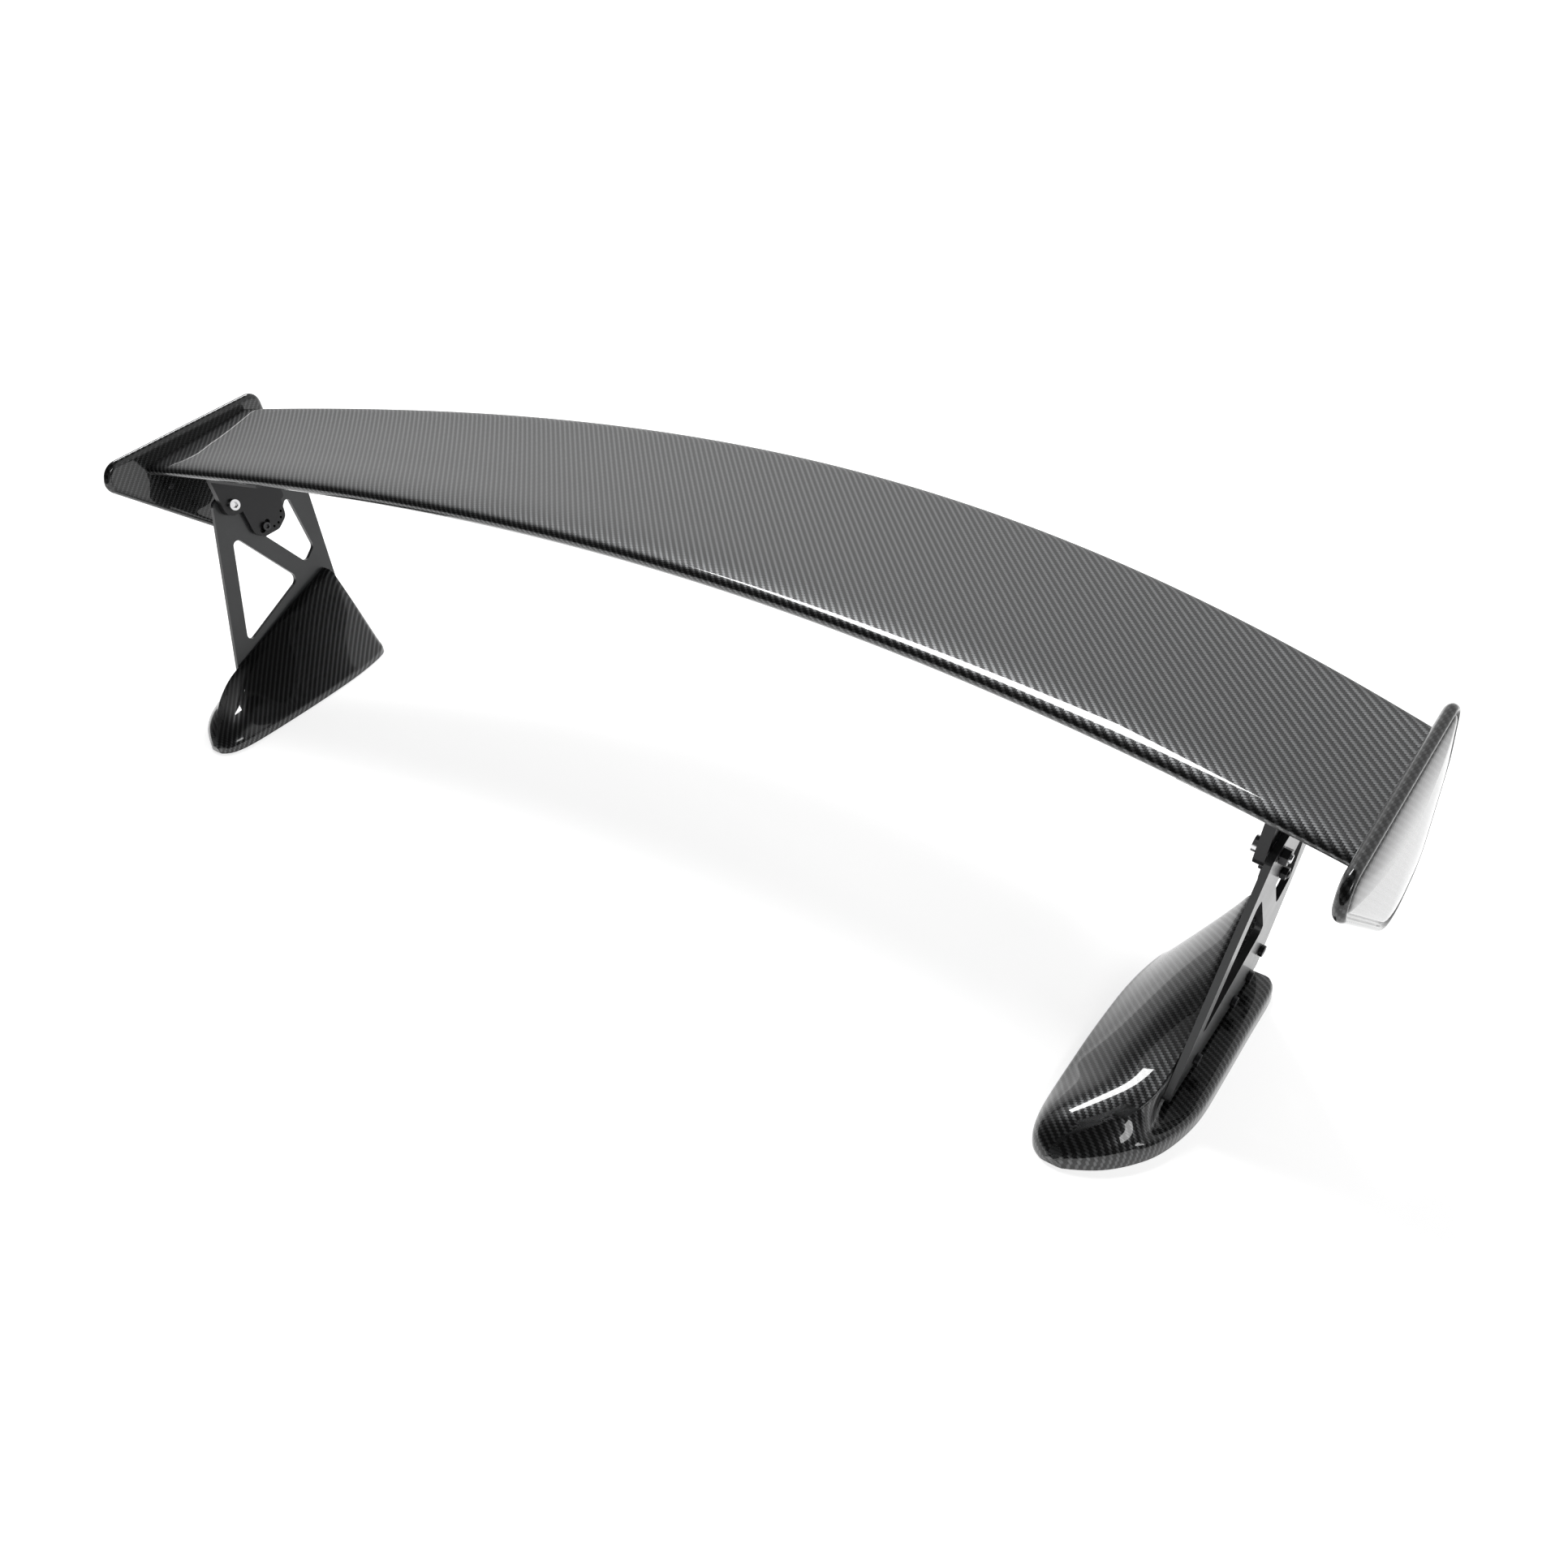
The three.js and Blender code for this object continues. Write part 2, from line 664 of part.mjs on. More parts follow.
// Assembly -------------------------------------------------------------------------------------------------------
const root = new THREE.Group();
root.name = "racing_rear_wing";

function add(name, geometry, material) {
  const mesh = new THREE.Mesh(geometry, material);
  mesh.name = name;
  mesh.position.y = -midDepth;
  root.add(mesh);
}

function addPair(name, geometry, material) {
  add(name + "_right", geometry, material);
  add(name + "_left", mirrored(geometry), material);
}

add("blade_skin", bladeSkin(), carbon);
add("blade_spar", spar(), carbon);
addPair("end_rib", endRib(), carbon);
addPair("mount_block", cut(mountBlock(), ...flangeScrews().map((s) => s.shaft)), alloy);
addPair("endplate", endplate(), carbon);
addPair("wing_bracket", bracket(), blackAlloy);
addPair("upright", upright(), blackAlloy);
addPair("pedestal", pedestal(), carbon);
addPair("pedestal_base", pedestalBase(), alloy);
addPair("backing_plate", backingPlate(), alloy);

flangeScrews().forEach(({ seat, up }, i) => {
  const below = up.clone().negate();
  const at = seat.clone().addScaledVector(below, gap);
  addPair("flange_screw_" + (i + 1), placed(bolt(small, flangeThick + skin + 9), at, below), blackSteel);
});

wallBolts.forEach((b, i) => {
  const length = plate + 2 * gap + shell / Math.cos(lean) + 2 * gap + backing + gap;
  addPair("wall_bolt_" + (i + 1), acrossPlate(bolt(medium, length), b, plate / 2 + gap), blackSteel);
});

const bracketFace = -plate / 2 - bracketGap;
const headSide = (geometry) => geometry.rotateX(Math.PI); // head towards the car's middle
addPair(
  "pivot_bolt",
  acrossPlate(headSide(bolt(large, armPlate + bracketGap + plate + 9)), pivot, bracketFace - armPlate - gap),
  steel,
);
addPair("pivot_nut", acrossPlate(nut(large.thread, 13, 6.5), pivot, plate / 2 + gap), steel);
addPair(
  "pivot_spacer",
  acrossPlate(washer(large.thread, 8, bracketGap - 2 * gap), pivot, bracketFace + gap),
  steel,
);
addPair(
  "adjust_bolt",
  acrossPlate(headSide(bolt(medium, lobePlate + bracketGap + plate + 7.5)), adjuster, bracketFace - lobePlate - 0.7),
  blackSteel,
);
addPair("adjust_nut", acrossPlate(nut(medium.thread, 10, 5), adjuster, plate / 2 + gap), blackSteel);

export default root;
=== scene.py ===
"""Looks of a racing rear wing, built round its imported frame.

Sizes are in millimetres in the classes and become metres when a mesh is made. X runs along the span, Y runs from the
leading edge to the trailing edge, and Z is up.
"""

import json
import logging
import math
from collections.abc import Sequence
from dataclasses import dataclass, field
from enum import Enum

import bmesh
import bpy
from mathutils import Matrix, Vector

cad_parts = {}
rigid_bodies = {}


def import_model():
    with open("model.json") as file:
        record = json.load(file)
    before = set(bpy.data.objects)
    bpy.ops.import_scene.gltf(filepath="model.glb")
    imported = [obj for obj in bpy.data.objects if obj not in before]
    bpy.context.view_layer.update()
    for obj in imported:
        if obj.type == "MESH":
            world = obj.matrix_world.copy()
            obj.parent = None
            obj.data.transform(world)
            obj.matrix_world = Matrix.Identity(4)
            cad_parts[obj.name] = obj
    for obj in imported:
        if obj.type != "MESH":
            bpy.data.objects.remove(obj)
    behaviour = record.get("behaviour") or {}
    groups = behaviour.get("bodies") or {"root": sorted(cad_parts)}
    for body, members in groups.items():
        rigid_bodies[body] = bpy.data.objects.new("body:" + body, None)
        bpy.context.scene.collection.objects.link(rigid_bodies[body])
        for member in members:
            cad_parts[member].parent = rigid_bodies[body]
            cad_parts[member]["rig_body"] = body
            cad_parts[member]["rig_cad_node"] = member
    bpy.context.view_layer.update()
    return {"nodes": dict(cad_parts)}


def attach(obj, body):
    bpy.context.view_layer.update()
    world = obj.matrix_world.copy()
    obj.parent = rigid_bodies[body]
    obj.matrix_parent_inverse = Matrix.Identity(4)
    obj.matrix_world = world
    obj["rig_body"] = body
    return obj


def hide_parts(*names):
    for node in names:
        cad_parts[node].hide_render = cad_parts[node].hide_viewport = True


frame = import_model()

log = logging.getLogger("rear_wing")

MM = 0.001
MID_DEPTH = 236.0  # the outlines below are measured from a point this far ahead of the frame's origin
Point = tuple[float, float]
Corner = tuple[float, float, float]
Piece = bpy.types.Object
Node = bpy.types.Node
Socket = bpy.types.NodeSocket


# Small numeric helpers

def mix(a: float, b: float, t: float) -> float:
    """Returns the value a share t of the way from a to b."""
    return a + (b - a) * t


def smoothstep(x: float, low: float, high: float) -> float:
    """Returns 0 below low, 1 above high and a smooth step between."""
    t = min(1.0, max(0.0, (x - low) / (high - low)))
    return t * t * (3 - 2 * t)


def spread(start: float, end: float, count: int) -> list[float]:
    """Returns count + 1 even values from start to end."""
    return [mix(start, end, i / count) for i in range(count + 1)]


def world(x: float, y: float, z: float) -> Vector:
    """Turns a point of the outlines into the frame's metres."""
    return Vector((x, y - MID_DEPTH, z)) * MM


def rounded(corners: Sequence[Corner], arc_steps: int, longest: float) -> list[Point]:
    """Walks round a polygon whose corners carry their own radii.

    Args:
        corners: Each corner as two coordinates and a radius.
        arc_steps: Points per corner arc, less one.
        longest: The longest straight step between two points.

    Returns:
        The points of the outline, without a repeat at the end.
    """
    points: list[Vector] = []
    n = len(corners)
    for i, (x, y, radius) in enumerate(corners):
        here = Vector((x, y))
        back = (Vector(corners[i - 1][:2]) - here).normalized()
        on = (Vector(corners[(i + 1) % n][:2]) - here).normalized()
        half = math.acos(max(-1.0, min(1.0, back.dot(on)))) / 2
        if radius <= 0:
            points.append(here)
            continue
        centre = here + (back + on).normalized() * (radius / math.sin(half))
        a = here + back * (radius / math.tan(half)) - centre
        b = here + on * (radius / math.tan(half)) - centre
        turn = a.angle_signed(b)
        for k in range(arc_steps + 1):
            t = -turn * k / arc_steps
            c, s = math.cos(t), math.sin(t)
            points.append(centre + Vector((a.x * c - a.y * s, a.x * s + a.y * c)))
    outline: list[Point] = []
    for i, p in enumerate(points):
        q = points[(i + 1) % len(points)]
        steps = max(1, math.ceil((q - p).length / longest))
        if (q - p).length > 1e-3:
            outline += [tuple(p.lerp(q, k / steps)) for k in range(steps)]
    return outline


def smooth_curve(table: Sequence[Sequence[float]], y: float, column: int) -> float:
    """Reads one column of a table along a Catmull-Rom curve.

    Args:
        table: Rows sorted by their first value.
        y: Where along the first column to read.
        column: Which column to read.

    Returns:
        The curve's value there.
    """
    n = len(table)
    low, high = 0.0, 1.0

    def at(t: float, k: int) -> float:
        """Reads the curve at one place.

        Args:
            t: Share of the curve's length.
            k: Which column to read.

        Returns:
            The column's value there.
        """
        p = t * (n - 1)
        i = min(n - 2, int(p))
        w = p - i
        p0, p1, p2, p3 = (table[min(n - 1, max(0, i + d))][k] for d in (-1, 0, 1, 2))
        v0, v1 = (p2 - p0) / 2, (p3 - p1) / 2
        return (2 * p1 - 2 * p2 + v0 + v1) * w ** 3 + (-3 * p1 + 3 * p2 - 2 * v0 - v1) * w * w + v0 * w + p1

    for _ in range(24):
        middle = (low + high) / 2
        if at(middle, 0) < y:
            low = middle
        else:
            high = middle
    return at(low, column)


# The bench: Blender's modelling operators

class Bench:
    """Holds one piece at a time and shapes it with Blender's own operators."""

    @staticmethod
    def clear() -> None:
        """Leaves edit mode and deselects everything."""
        if bpy.context.object is not None and bpy.context.object.mode != "OBJECT":
            bpy.ops.object.mode_set(mode="OBJECT")
        bpy.ops.object.select_all(action="DESELECT")

    @staticmethod
    def take(piece: Piece, *others: Piece) -> None:
        """Selects a piece and makes it active, with others beside it.

        Args:
            piece: The piece that becomes active.
            others: Pieces that are selected with it.
        """
        Bench.clear()
        for o in (piece, *others):
            o.select_set(True)
        bpy.context.view_layer.objects.active = piece

    @staticmethod
    def edit(piece: Piece, mode: str = "VERT") -> bmesh.types.BMesh:
        """Opens a piece in edit mode with nothing selected.

        Args:
            piece: The piece.
            mode: What is picked in it: VERT, EDGE or FACE.

        Returns:
            The open mesh.
        """
        Bench.take(piece)
        bpy.ops.object.mode_set(mode="EDIT")
        bpy.ops.mesh.select_mode(type=mode)
        bpy.ops.mesh.select_all(action="DESELECT")
        return bmesh.from_edit_mesh(piece.data)

    @staticmethod
    def done(piece: Piece) -> Piece:
        """Closes edit mode.

        Args:
            piece: The piece that is open.

        Returns:
            The same piece.
        """
        bmesh.update_edit_mesh(piece.data)
        bpy.ops.object.mode_set(mode="OBJECT")
        return piece

    @staticmethod
    def name(piece: Piece, name: str) -> Piece:
        """Names a piece and its mesh.

        Args:
            piece: The piece.
            name: Its name.

        Returns:
            The same piece.
        """
        piece.name = name
        piece.data.name = name
        return piece

    @staticmethod
    def modify(piece: Piece, kind: str, **settings: object) -> None:
        """Adds a modifier, sets it and applies it.

        Args:
            piece: The piece.
            kind: The modifier's type.
            settings: The modifier's properties.
        """
        Bench.take(piece)
        bpy.ops.object.modifier_add(type=kind)
        modifier = piece.modifiers[-1]
        for key, value in settings.items():
            setattr(modifier, key, value)
        bpy.ops.object.modifier_apply(modifier=modifier.name)

    @staticmethod
    def subdivide(piece: Piece, levels: int) -> None:
        """Smooths a piece by subdivision."""
        Bench.modify(piece, "SUBSURF", levels=levels, render_levels=levels, quality=3)

    @staticmethod
    def place(piece: Piece, matrix: Matrix) -> Piece:
        """Puts a piece in its place and leaves its object at the origin.

        Args:
            piece: The piece.
            matrix: Where it goes.

        Returns:
            The same piece.
        """
        Bench.take(piece)
        piece.matrix_world = matrix @ piece.matrix_world
        bpy.ops.object.transform_apply(location=True, rotation=True, scale=True)
        return piece

    @staticmethod
    def cylinder(name: str, sides: int, radius: float, height: float) -> Piece:
        """Stands a cylinder on the origin.

        Args:
            name: Its name.
            sides: Points round it.
            radius: Its radius in millimetres.
            height: Its height in millimetres.

        Returns:
            The cylinder.
        """
        Bench.clear()
        bpy.ops.mesh.primitive_cylinder_add(
            vertices=sides, radius=radius * MM, depth=height * MM, location=(0, 0, height * MM / 2),
        )
        bpy.ops.object.transform_apply(location=True)
        return Bench.name(bpy.context.object, name)

    @staticmethod
    def outwards() -> None:
        """Turns every face of the open piece outwards."""
        bpy.ops.mesh.select_all(action="SELECT")
        bpy.ops.mesh.normals_make_consistent(inside=False)

    @staticmethod
    def bevel(piece: Piece, width: float, segments: int = 2, angle: float = 50.0) -> None:
        """Breaks a piece's sharp edges.

        Args:
            piece: The piece.
            width: Width of the break in millimetres.
            segments: Faces across it.
            angle: The least turn of an edge that is broken, in degrees.
        """
        sharp = math.radians(angle)
        Bench.modify(piece, "BEVEL", width=width * MM, segments=segments, limit_method="ANGLE", angle_limit=sharp)

    @staticmethod
    def copy(piece: Piece, name: str) -> Piece:
        """Copies a piece with its own mesh.

        Args:
            piece: The piece to copy.
            name: The copy's name.

        Returns:
            The copy.
        """
        Bench.take(piece)
        bpy.ops.object.duplicate(linked=False)
        return Bench.name(bpy.context.object, name)

    @staticmethod
    def mirror(piece: Piece, name: str) -> Piece:
        """Makes the left-hand copy of a right-hand piece.

        Args:
            piece: The right-hand piece.
            name: The copy's name.

        Returns:
            The left-hand copy, with its cloth laid the same way round.
        """
        other = Bench.copy(piece, name)
        Bench.edit(other)
        bpy.ops.mesh.select_all(action="SELECT")
        bpy.ops.transform.resize(value=(-1, 1, 1), center_override=(0, 0, 0))
        bpy.ops.mesh.flip_normals()
        Bench.done(other)
        if "cloth" in other.data.uv_layers:
            for spot in other.data.uv_layers["cloth"].data:
                spot.uv.x = -spot.uv.x
        return other

    @staticmethod
    def smooth(piece: Piece, angle: float = 35.0) -> None:
        """Shades a piece smooth, with edges kept above an angle in degrees."""
        Bench.take(piece)
        bpy.ops.object.shade_smooth_by_angle(angle=math.radians(angle))

    @staticmethod
    def even(*pieces: Piece) -> None:
        """Keeps the shading of flat faces flat beside their rounded edges."""
        for piece in pieces:
            Bench.modify(piece, "WEIGHTED_NORMAL", keep_sharp=True)

    @staticmethod
    def cut(piece: Piece, *tools: Piece) -> None:
        """Cuts tools out of a piece and throws the tools away.

        Args:
            piece: The piece that is cut.
            tools: What it is cut with.
        """
        for tool in tools:
            Bench.modify(piece, "BOOLEAN", operation="DIFFERENCE", object=tool, solver="EXACT")
            bpy.data.objects.remove(tool)


@dataclass
class Loft:
    """A skin drawn through rings of points.

    Attributes:
        rings: Each ring's points, all of one count.
        closed: Whether each ring closes on itself.
        caps: Whether the first and last ring are filled.
        cloth: For each ring and point, where it lies on the cloth, in millimetres.
        flat_ends: Whether the filled ends are flat, made of triangles and with cloth of their own along X and Z.
    """

    rings: list[list[Vector]]
    closed: bool = True
    caps: bool = False
    cloth: list[list[Point]] | None = None
    flat_ends: bool = False

    def build(self, name: str) -> Piece:
        """Extrudes a circle from ring to ring.

        Args:
            name: The skin's name.

        Returns:
            The skin.
        """
        count = len(self.rings[0])
        Bench.clear()
        bpy.ops.mesh.primitive_circle_add(vertices=count, radius=0.01, fill_type="NOTHING")
        piece = Bench.name(bpy.context.object, name)
        mesh = Bench.edit(piece, "EDGE")
        mesh.verts.ensure_lookup_table()
        mesh.edges.ensure_lookup_table()
        place = mesh.verts.layers.int.new("place")
        for i, vert in enumerate(mesh.verts):
            vert[place] = i
        mesh.verts.layers.int.new("ring")
        bmesh.update_edit_mesh(piece.data)
        if not self.closed:
            mesh = bmesh.from_edit_mesh(piece.data)
            place = mesh.verts.layers.int["place"]
            for edge in mesh.edges:
                edge.select_set({v[place] for v in edge.verts} == {0, count - 1})
            bpy.ops.mesh.delete(type="EDGE")
        bpy.ops.mesh.select_all(action="SELECT")
        self._shape(piece, 0)
        for number in range(1, len(self.rings)):
            bpy.ops.mesh.extrude_edges_move()
            self._shape(piece, number)
        if self.caps:
            for number in (0, len(self.rings) - 1):
                self._fill(piece, number)
        Bench.outwards()
        mesh = bmesh.from_edit_mesh(piece.data)
        middle = sum((v.co for v in mesh.verts), Vector()) / len(mesh.verts)
        if sum(f.calc_area() * f.normal.dot(f.calc_center_median() - middle) for f in mesh.faces) < 0:
            bpy.ops.mesh.flip_normals()
        Bench.done(piece)
        if self.cloth is not None:
            self._lay_cloth(piece)
        for layer in ("place", "ring"):
            piece.data.attributes.remove(piece.data.attributes[layer])
        return piece

    def _shape(self, piece: Piece, number: int) -> None:
        """Moves the selected ring onto its section.

        Args:
            piece: The skin so far.
            number: Which ring is selected.
        """
        mesh = bmesh.from_edit_mesh(piece.data)
        place, ring = mesh.verts.layers.int["place"], mesh.verts.layers.int["ring"]
        for vert in mesh.verts:
            if vert.select:
                vert.co = self.rings[number][vert[place]]
                vert[ring] = number
        bmesh.update_edit_mesh(piece.data)

    def _fill(self, piece: Piece, number: int) -> None:
        """Fills one ring with a face.

        Args:
            piece: The skin.
            number: Which ring to fill.
        """
        bpy.ops.mesh.select_all(action="DESELECT")
        mesh = bmesh.from_edit_mesh(piece.data)
        ring = mesh.verts.layers.int["ring"]
        for edge in mesh.edges:
            edge.select_set(all(v[ring] == number for v in edge.verts))
        bpy.ops.mesh.edge_face_add()
        if self.flat_ends:
            bpy.ops.mesh.quads_convert_to_tris(quad_method="BEAUTY", ngon_method="BEAUTY")

    def _lay_cloth(self, piece: Piece) -> None:
        """Writes where each point lies on the cloth into the piece's own map.

        Args:
            piece: The skin.
        """
        data = piece.data
        place, ring = data.attributes["place"].data, data.attributes["ring"].data
        layer = data.uv_layers.new(name="cloth")
        for loop in data.loops:
            v = loop.vertex_index
            u, w = self.cloth[ring[v].value][place[v].value]
            layer.data[loop.index].uv = (u * MM, w * MM)
        if self.flat_ends:
            for face in data.polygons:
                if len({ring[v].value for v in face.vertices}) == 1:
                    for index in face.loop_indices:
                        co = data.vertices[data.loops[index].vertex_index].co
                        layer.data[index].uv = (co.x, co.z)


# Finishes

class Graph:
    """The nodes of a material or of the room, added one after another."""

    def __init__(self, owner: bpy.types.Material | bpy.types.World) -> None:
        """Empties the owner's nodes.

        Args:
            owner: The material or world that holds the nodes.
        """
        owner.use_nodes = True
        self.tree = owner.node_tree
        self.tree.nodes.clear()

    def node(self, kind: str, **settings: object) -> Node:
        """Adds a node and sets its own properties.

        Args:
            kind: The node's type.
            settings: The node's properties.

        Returns:
            The node.
        """
        made = self.tree.nodes.new(kind)
        for key, value in settings.items():
            setattr(made, key, value)
        made.location = (220 * (len(self.tree.nodes) % 8), -180 * (len(self.tree.nodes) // 8))
        return made

    def feed(self, socket: Socket, value: object) -> None:
        """Links a socket, or sets it where the value is plain.

        Args:
            socket: The socket that takes the value.
            value: Another node's socket, or a plain value.
        """
        if isinstance(value, bpy.types.NodeSocket):
            self.tree.links.new(value, socket)
        else:
            socket.default_value = value

    def math(self, operation: str, *values: object) -> Socket:
        """Adds a math node.

        Args:
            operation: What it does.
            values: What goes in.

        Returns:
            What comes out.
        """
        made = self.node("ShaderNodeMath", operation=operation)
        for socket, value in zip(made.inputs, values):
            self.feed(socket, value)
        return made.outputs[0]

    def blend(self, share: object, low: object, high: object) -> Socket:
        """Mixes two numbers.

        Args:
            share: How much of the high one.
            low: The mix at a share of 0.
            high: The mix at a share of 1.

        Returns:
            The mix.
        """
        made = self.node("ShaderNodeMix", data_type="FLOAT")
        for socket, value in zip(made.inputs[:1] + made.inputs[2:4], (share, low, high)):
            self.feed(socket, value)
        return made.outputs[0]

    def tint(self, share: object, low: Sequence[float], high: Sequence[float]) -> Socket:
        """Mixes two colours.

        Args:
            share: How much of the high one.
            low: The mix at a share of 0.
            high: The mix at a share of 1.

        Returns:
            The mix.
        """
        made = self.node("ShaderNodeMix", data_type="RGBA")
        self.feed(made.inputs[0], share)
        made.inputs[6].default_value = (*low, 1.0)
        made.inputs[7].default_value = (*high, 1.0)
        return made.outputs[2]

    def remap(
        self, value: Socket, low: float, high: float, to_low: float, to_high: float, way: str = "LINEAR",
    ) -> Socket:
        """Maps one range onto another with clamped ends.

        Args:
            value: What is mapped.
            low: Where its range starts.
            high: Where its range ends.
            to_low: What low becomes.
            to_high: What high becomes.
            way: How it goes between them.

        Returns:
            The mapped value.
        """
        made = self.node("ShaderNodeMapRange", interpolation_type=way)
        for socket, number in zip(made.inputs, (value, low, high, to_low, to_high)):
            self.feed(socket, number)
        return made.outputs[0]

    def noise(self, vector: Socket, scale: float, detail: float = 2.0) -> Socket:
        """Adds a noise texture.

        Args:
            vector: Where it is read.
            scale: How fine it is.
            detail: How many finer layers it has.

        Returns:
            Its value.
        """
        made = self.node("ShaderNodeTexNoise")
        self.feed(made.inputs["Vector"], vector)
        made.inputs["Scale"].default_value = scale
        made.inputs["Detail"].default_value = detail
        return made.outputs["Fac"]


class SurfaceGraph(Graph):
    """The nodes of a new material round one Principled shader."""

    def __init__(self, name: str) -> None:
        """Starts the material.

        Args:
            name: The material's name.
        """
        self.material = bpy.data.materials.new(name)
        super().__init__(self.material)
        self.shader = self.node("ShaderNodeBsdfPrincipled")
        self.feed(self.node("ShaderNodeOutputMaterial").inputs["Surface"], self.shader.outputs["BSDF"])

    def set(self, values: dict[str, object]) -> None:
        """Sets the shader's own sockets."""
        for name, value in values.items():
            self.shader.inputs[name].default_value = value

    def bump(self, height: Socket, strength: float, distance: float) -> None:
        """Gives the shader a bump from a height.

        Args:
            height: The height.
            strength: How strong the bump is.
            distance: The height's size in metres.
        """
        made = self.node("ShaderNodeBump")
        made.inputs["Strength"].default_value = strength
        made.inputs["Distance"].default_value = distance
        self.feed(made.inputs["Height"], height)
        self.feed(self.shader.inputs["Normal"], made.outputs["Normal"])


@dataclass(frozen=True)
class TwillCarbon:
    """Clear-coated twill: tows that pass over two and under two, one step further in each row.

    Attributes:
        name: The material's name.
        tow: Width of one tow in metres.
        warp: Brightness of the tows along the cloth's first direction, set high: painted sheen, as these tows catch
            the light.
        weft: Brightness of the tows across them, set low: painted shade, as these tows turn the light away.
        roughness: Roughness of the fibres under the coat.
        metallic: How metallic the fibres look.
        coat_roughness: Roughness of the clear coat.
        cast: Each colour's share of the brightness.
    """

    name: str
    tow: float = 0.002
    warp: float = 0.115
    weft: float = 0.022
    roughness: float = 0.36
    metallic: float = 0.9
    coat_roughness: float = 0.025
    cast: tuple[float, float, float] = (0.98, 1.0, 1.02)

    def make(self) -> bpy.types.Material:
        """Makes the material and its nodes.

        Returns:
            The material.
        """
        g = SurfaceGraph(self.name)
        split = g.node("ShaderNodeSeparateXYZ")
        g.feed(split.inputs[0], g.node("ShaderNodeUVMap", uv_map="cloth").outputs["UV"])
        u = g.math("DIVIDE", split.outputs[0], self.tow)
        v = g.math("DIVIDE", split.outputs[1], self.tow)
        step = g.math("FLOORED_MODULO", g.math("ADD", g.math("FLOOR", u), g.math("FLOOR", v)), 4.0)
        over = g.math("LESS_THAN", step, 1.5)
        along_u, along_v = g.math("FRACT", u), g.math("FRACT", v)
        crown = g.blend(over, self._arch(g, along_u), self._arch(g, along_v))
        run = g.blend(over, g.math("ADD", along_v, g.math("SUBTRACT", step, 2.0)), g.math("ADD", along_u, step))
        swell = g.math("SINE", g.math("MULTIPLY", run, math.pi / 2))
        streaks = self._streaks(g, u, v, over)
        body = g.math("MULTIPLY", crown, swell)
        # Each tow is darker at its edges and where it dips under its neighbour: painted shade between the tows,
        # times the fine streaks.
        light = g.math("MULTIPLY", g.remap(body, 0.0, 0.75, 0.35, 1.0), g.remap(streaks, 0.3, 0.7, 0.8, 1.15))
        # Bright warp tows and dark weft tows: painted sheen and shade, standing for the tows along one way catching
        # the light and those across not.
        tone = g.math("MULTIPLY", g.blend(over, self.weft, self.warp), light)
        colour = g.node("ShaderNodeCombineColor")
        for socket, share in zip(colour.inputs, self.cast):
            g.feed(socket, g.math("MULTIPLY", tone, share))
        g.feed(g.shader.inputs["Base Color"], colour.outputs[0])
        g.set({
            "Metallic": self.metallic, "Roughness": self.roughness,
            "Coat Weight": 1.0, "Coat Roughness": self.coat_roughness, "Coat IOR": 1.5,
        })
        g.bump(body, 0.25, 0.0002)
        return g.material

    @staticmethod
    def _arch(g: Graph, along: Socket) -> Socket:
        """Returns the round back of a tow, from its edge through its crown to its other edge."""
        off = g.math("SUBTRACT", along, 0.5)
        return g.math("SUBTRACT", 1.0, g.math("MULTIPLY", g.math("MULTIPLY", off, off), 3.6))

    @staticmethod
    def _streaks(g: Graph, u: Socket, v: Socket, over: Socket) -> Socket:
        """Adds fine streaks that run along whichever tow is on top.

        Args:
            g: The material's nodes.
            u: Place along the cloth's first direction, in tows.
            v: Place across it, in tows.
            over: 1 where the warp is on top, else 0.

        Returns:
            The streaks' value.
        """
        vector = g.node("ShaderNodeCombineXYZ")
        g.feed(vector.inputs[0], g.math("MULTIPLY", u, g.blend(over, 4.0, 0.25)))
        g.feed(vector.inputs[1], g.math("MULTIPLY", v, g.blend(over, 0.25, 4.0)))
        return g.noise(vector.outputs[0], 1.0)


@dataclass(frozen=True)
class SatinMetal:
    """A machined metal surface with fine grain and faint handling marks.

    Attributes:
        name: The material's name.
        colour: Its colour.
        roughness: Mean roughness.
        metallic: How metallic it is.
        grain: Size of the grain in metres.
        coat: How much lacquer lies over it.
        patchy: How much darker and lighter its patches are.
    """

    name: str
    colour: tuple[float, float, float]
    roughness: float = 0.4
    metallic: float = 1.0
    grain: float = 0.0006
    coat: float = 0.0
    patchy: Point = (0.82, 1.16)

    def make(self) -> bpy.types.Material:
        """Makes the material and its nodes.

        Returns:
            The material.
        """
        g = SurfaceGraph(self.name)
        here = g.node("ShaderNodeTexCoord").outputs["Object"]
        fine = g.noise(here, 1.0 / self.grain)
        broad = g.noise(here, 18.0, 4.0)
        low, high = (tuple(min(1.0, c * share) for c in self.colour) for share in self.patchy)
        g.feed(g.shader.inputs["Base Color"], g.tint(g.remap(broad, 0.35, 0.65, 0.0, 1.0), low, high))
        wear = g.math("ADD", g.remap(broad, 0.3, 0.7, -0.05, 0.05), g.remap(fine, 0.3, 0.7, -0.03, 0.03))
        g.feed(g.shader.inputs["Roughness"], g.math("ADD", wear, self.roughness))
        g.set({"Metallic": self.metallic, "Coat Weight": self.coat, "Coat Roughness": 0.12})
        g.bump(fine, 0.12, 0.00005)
        return g.material


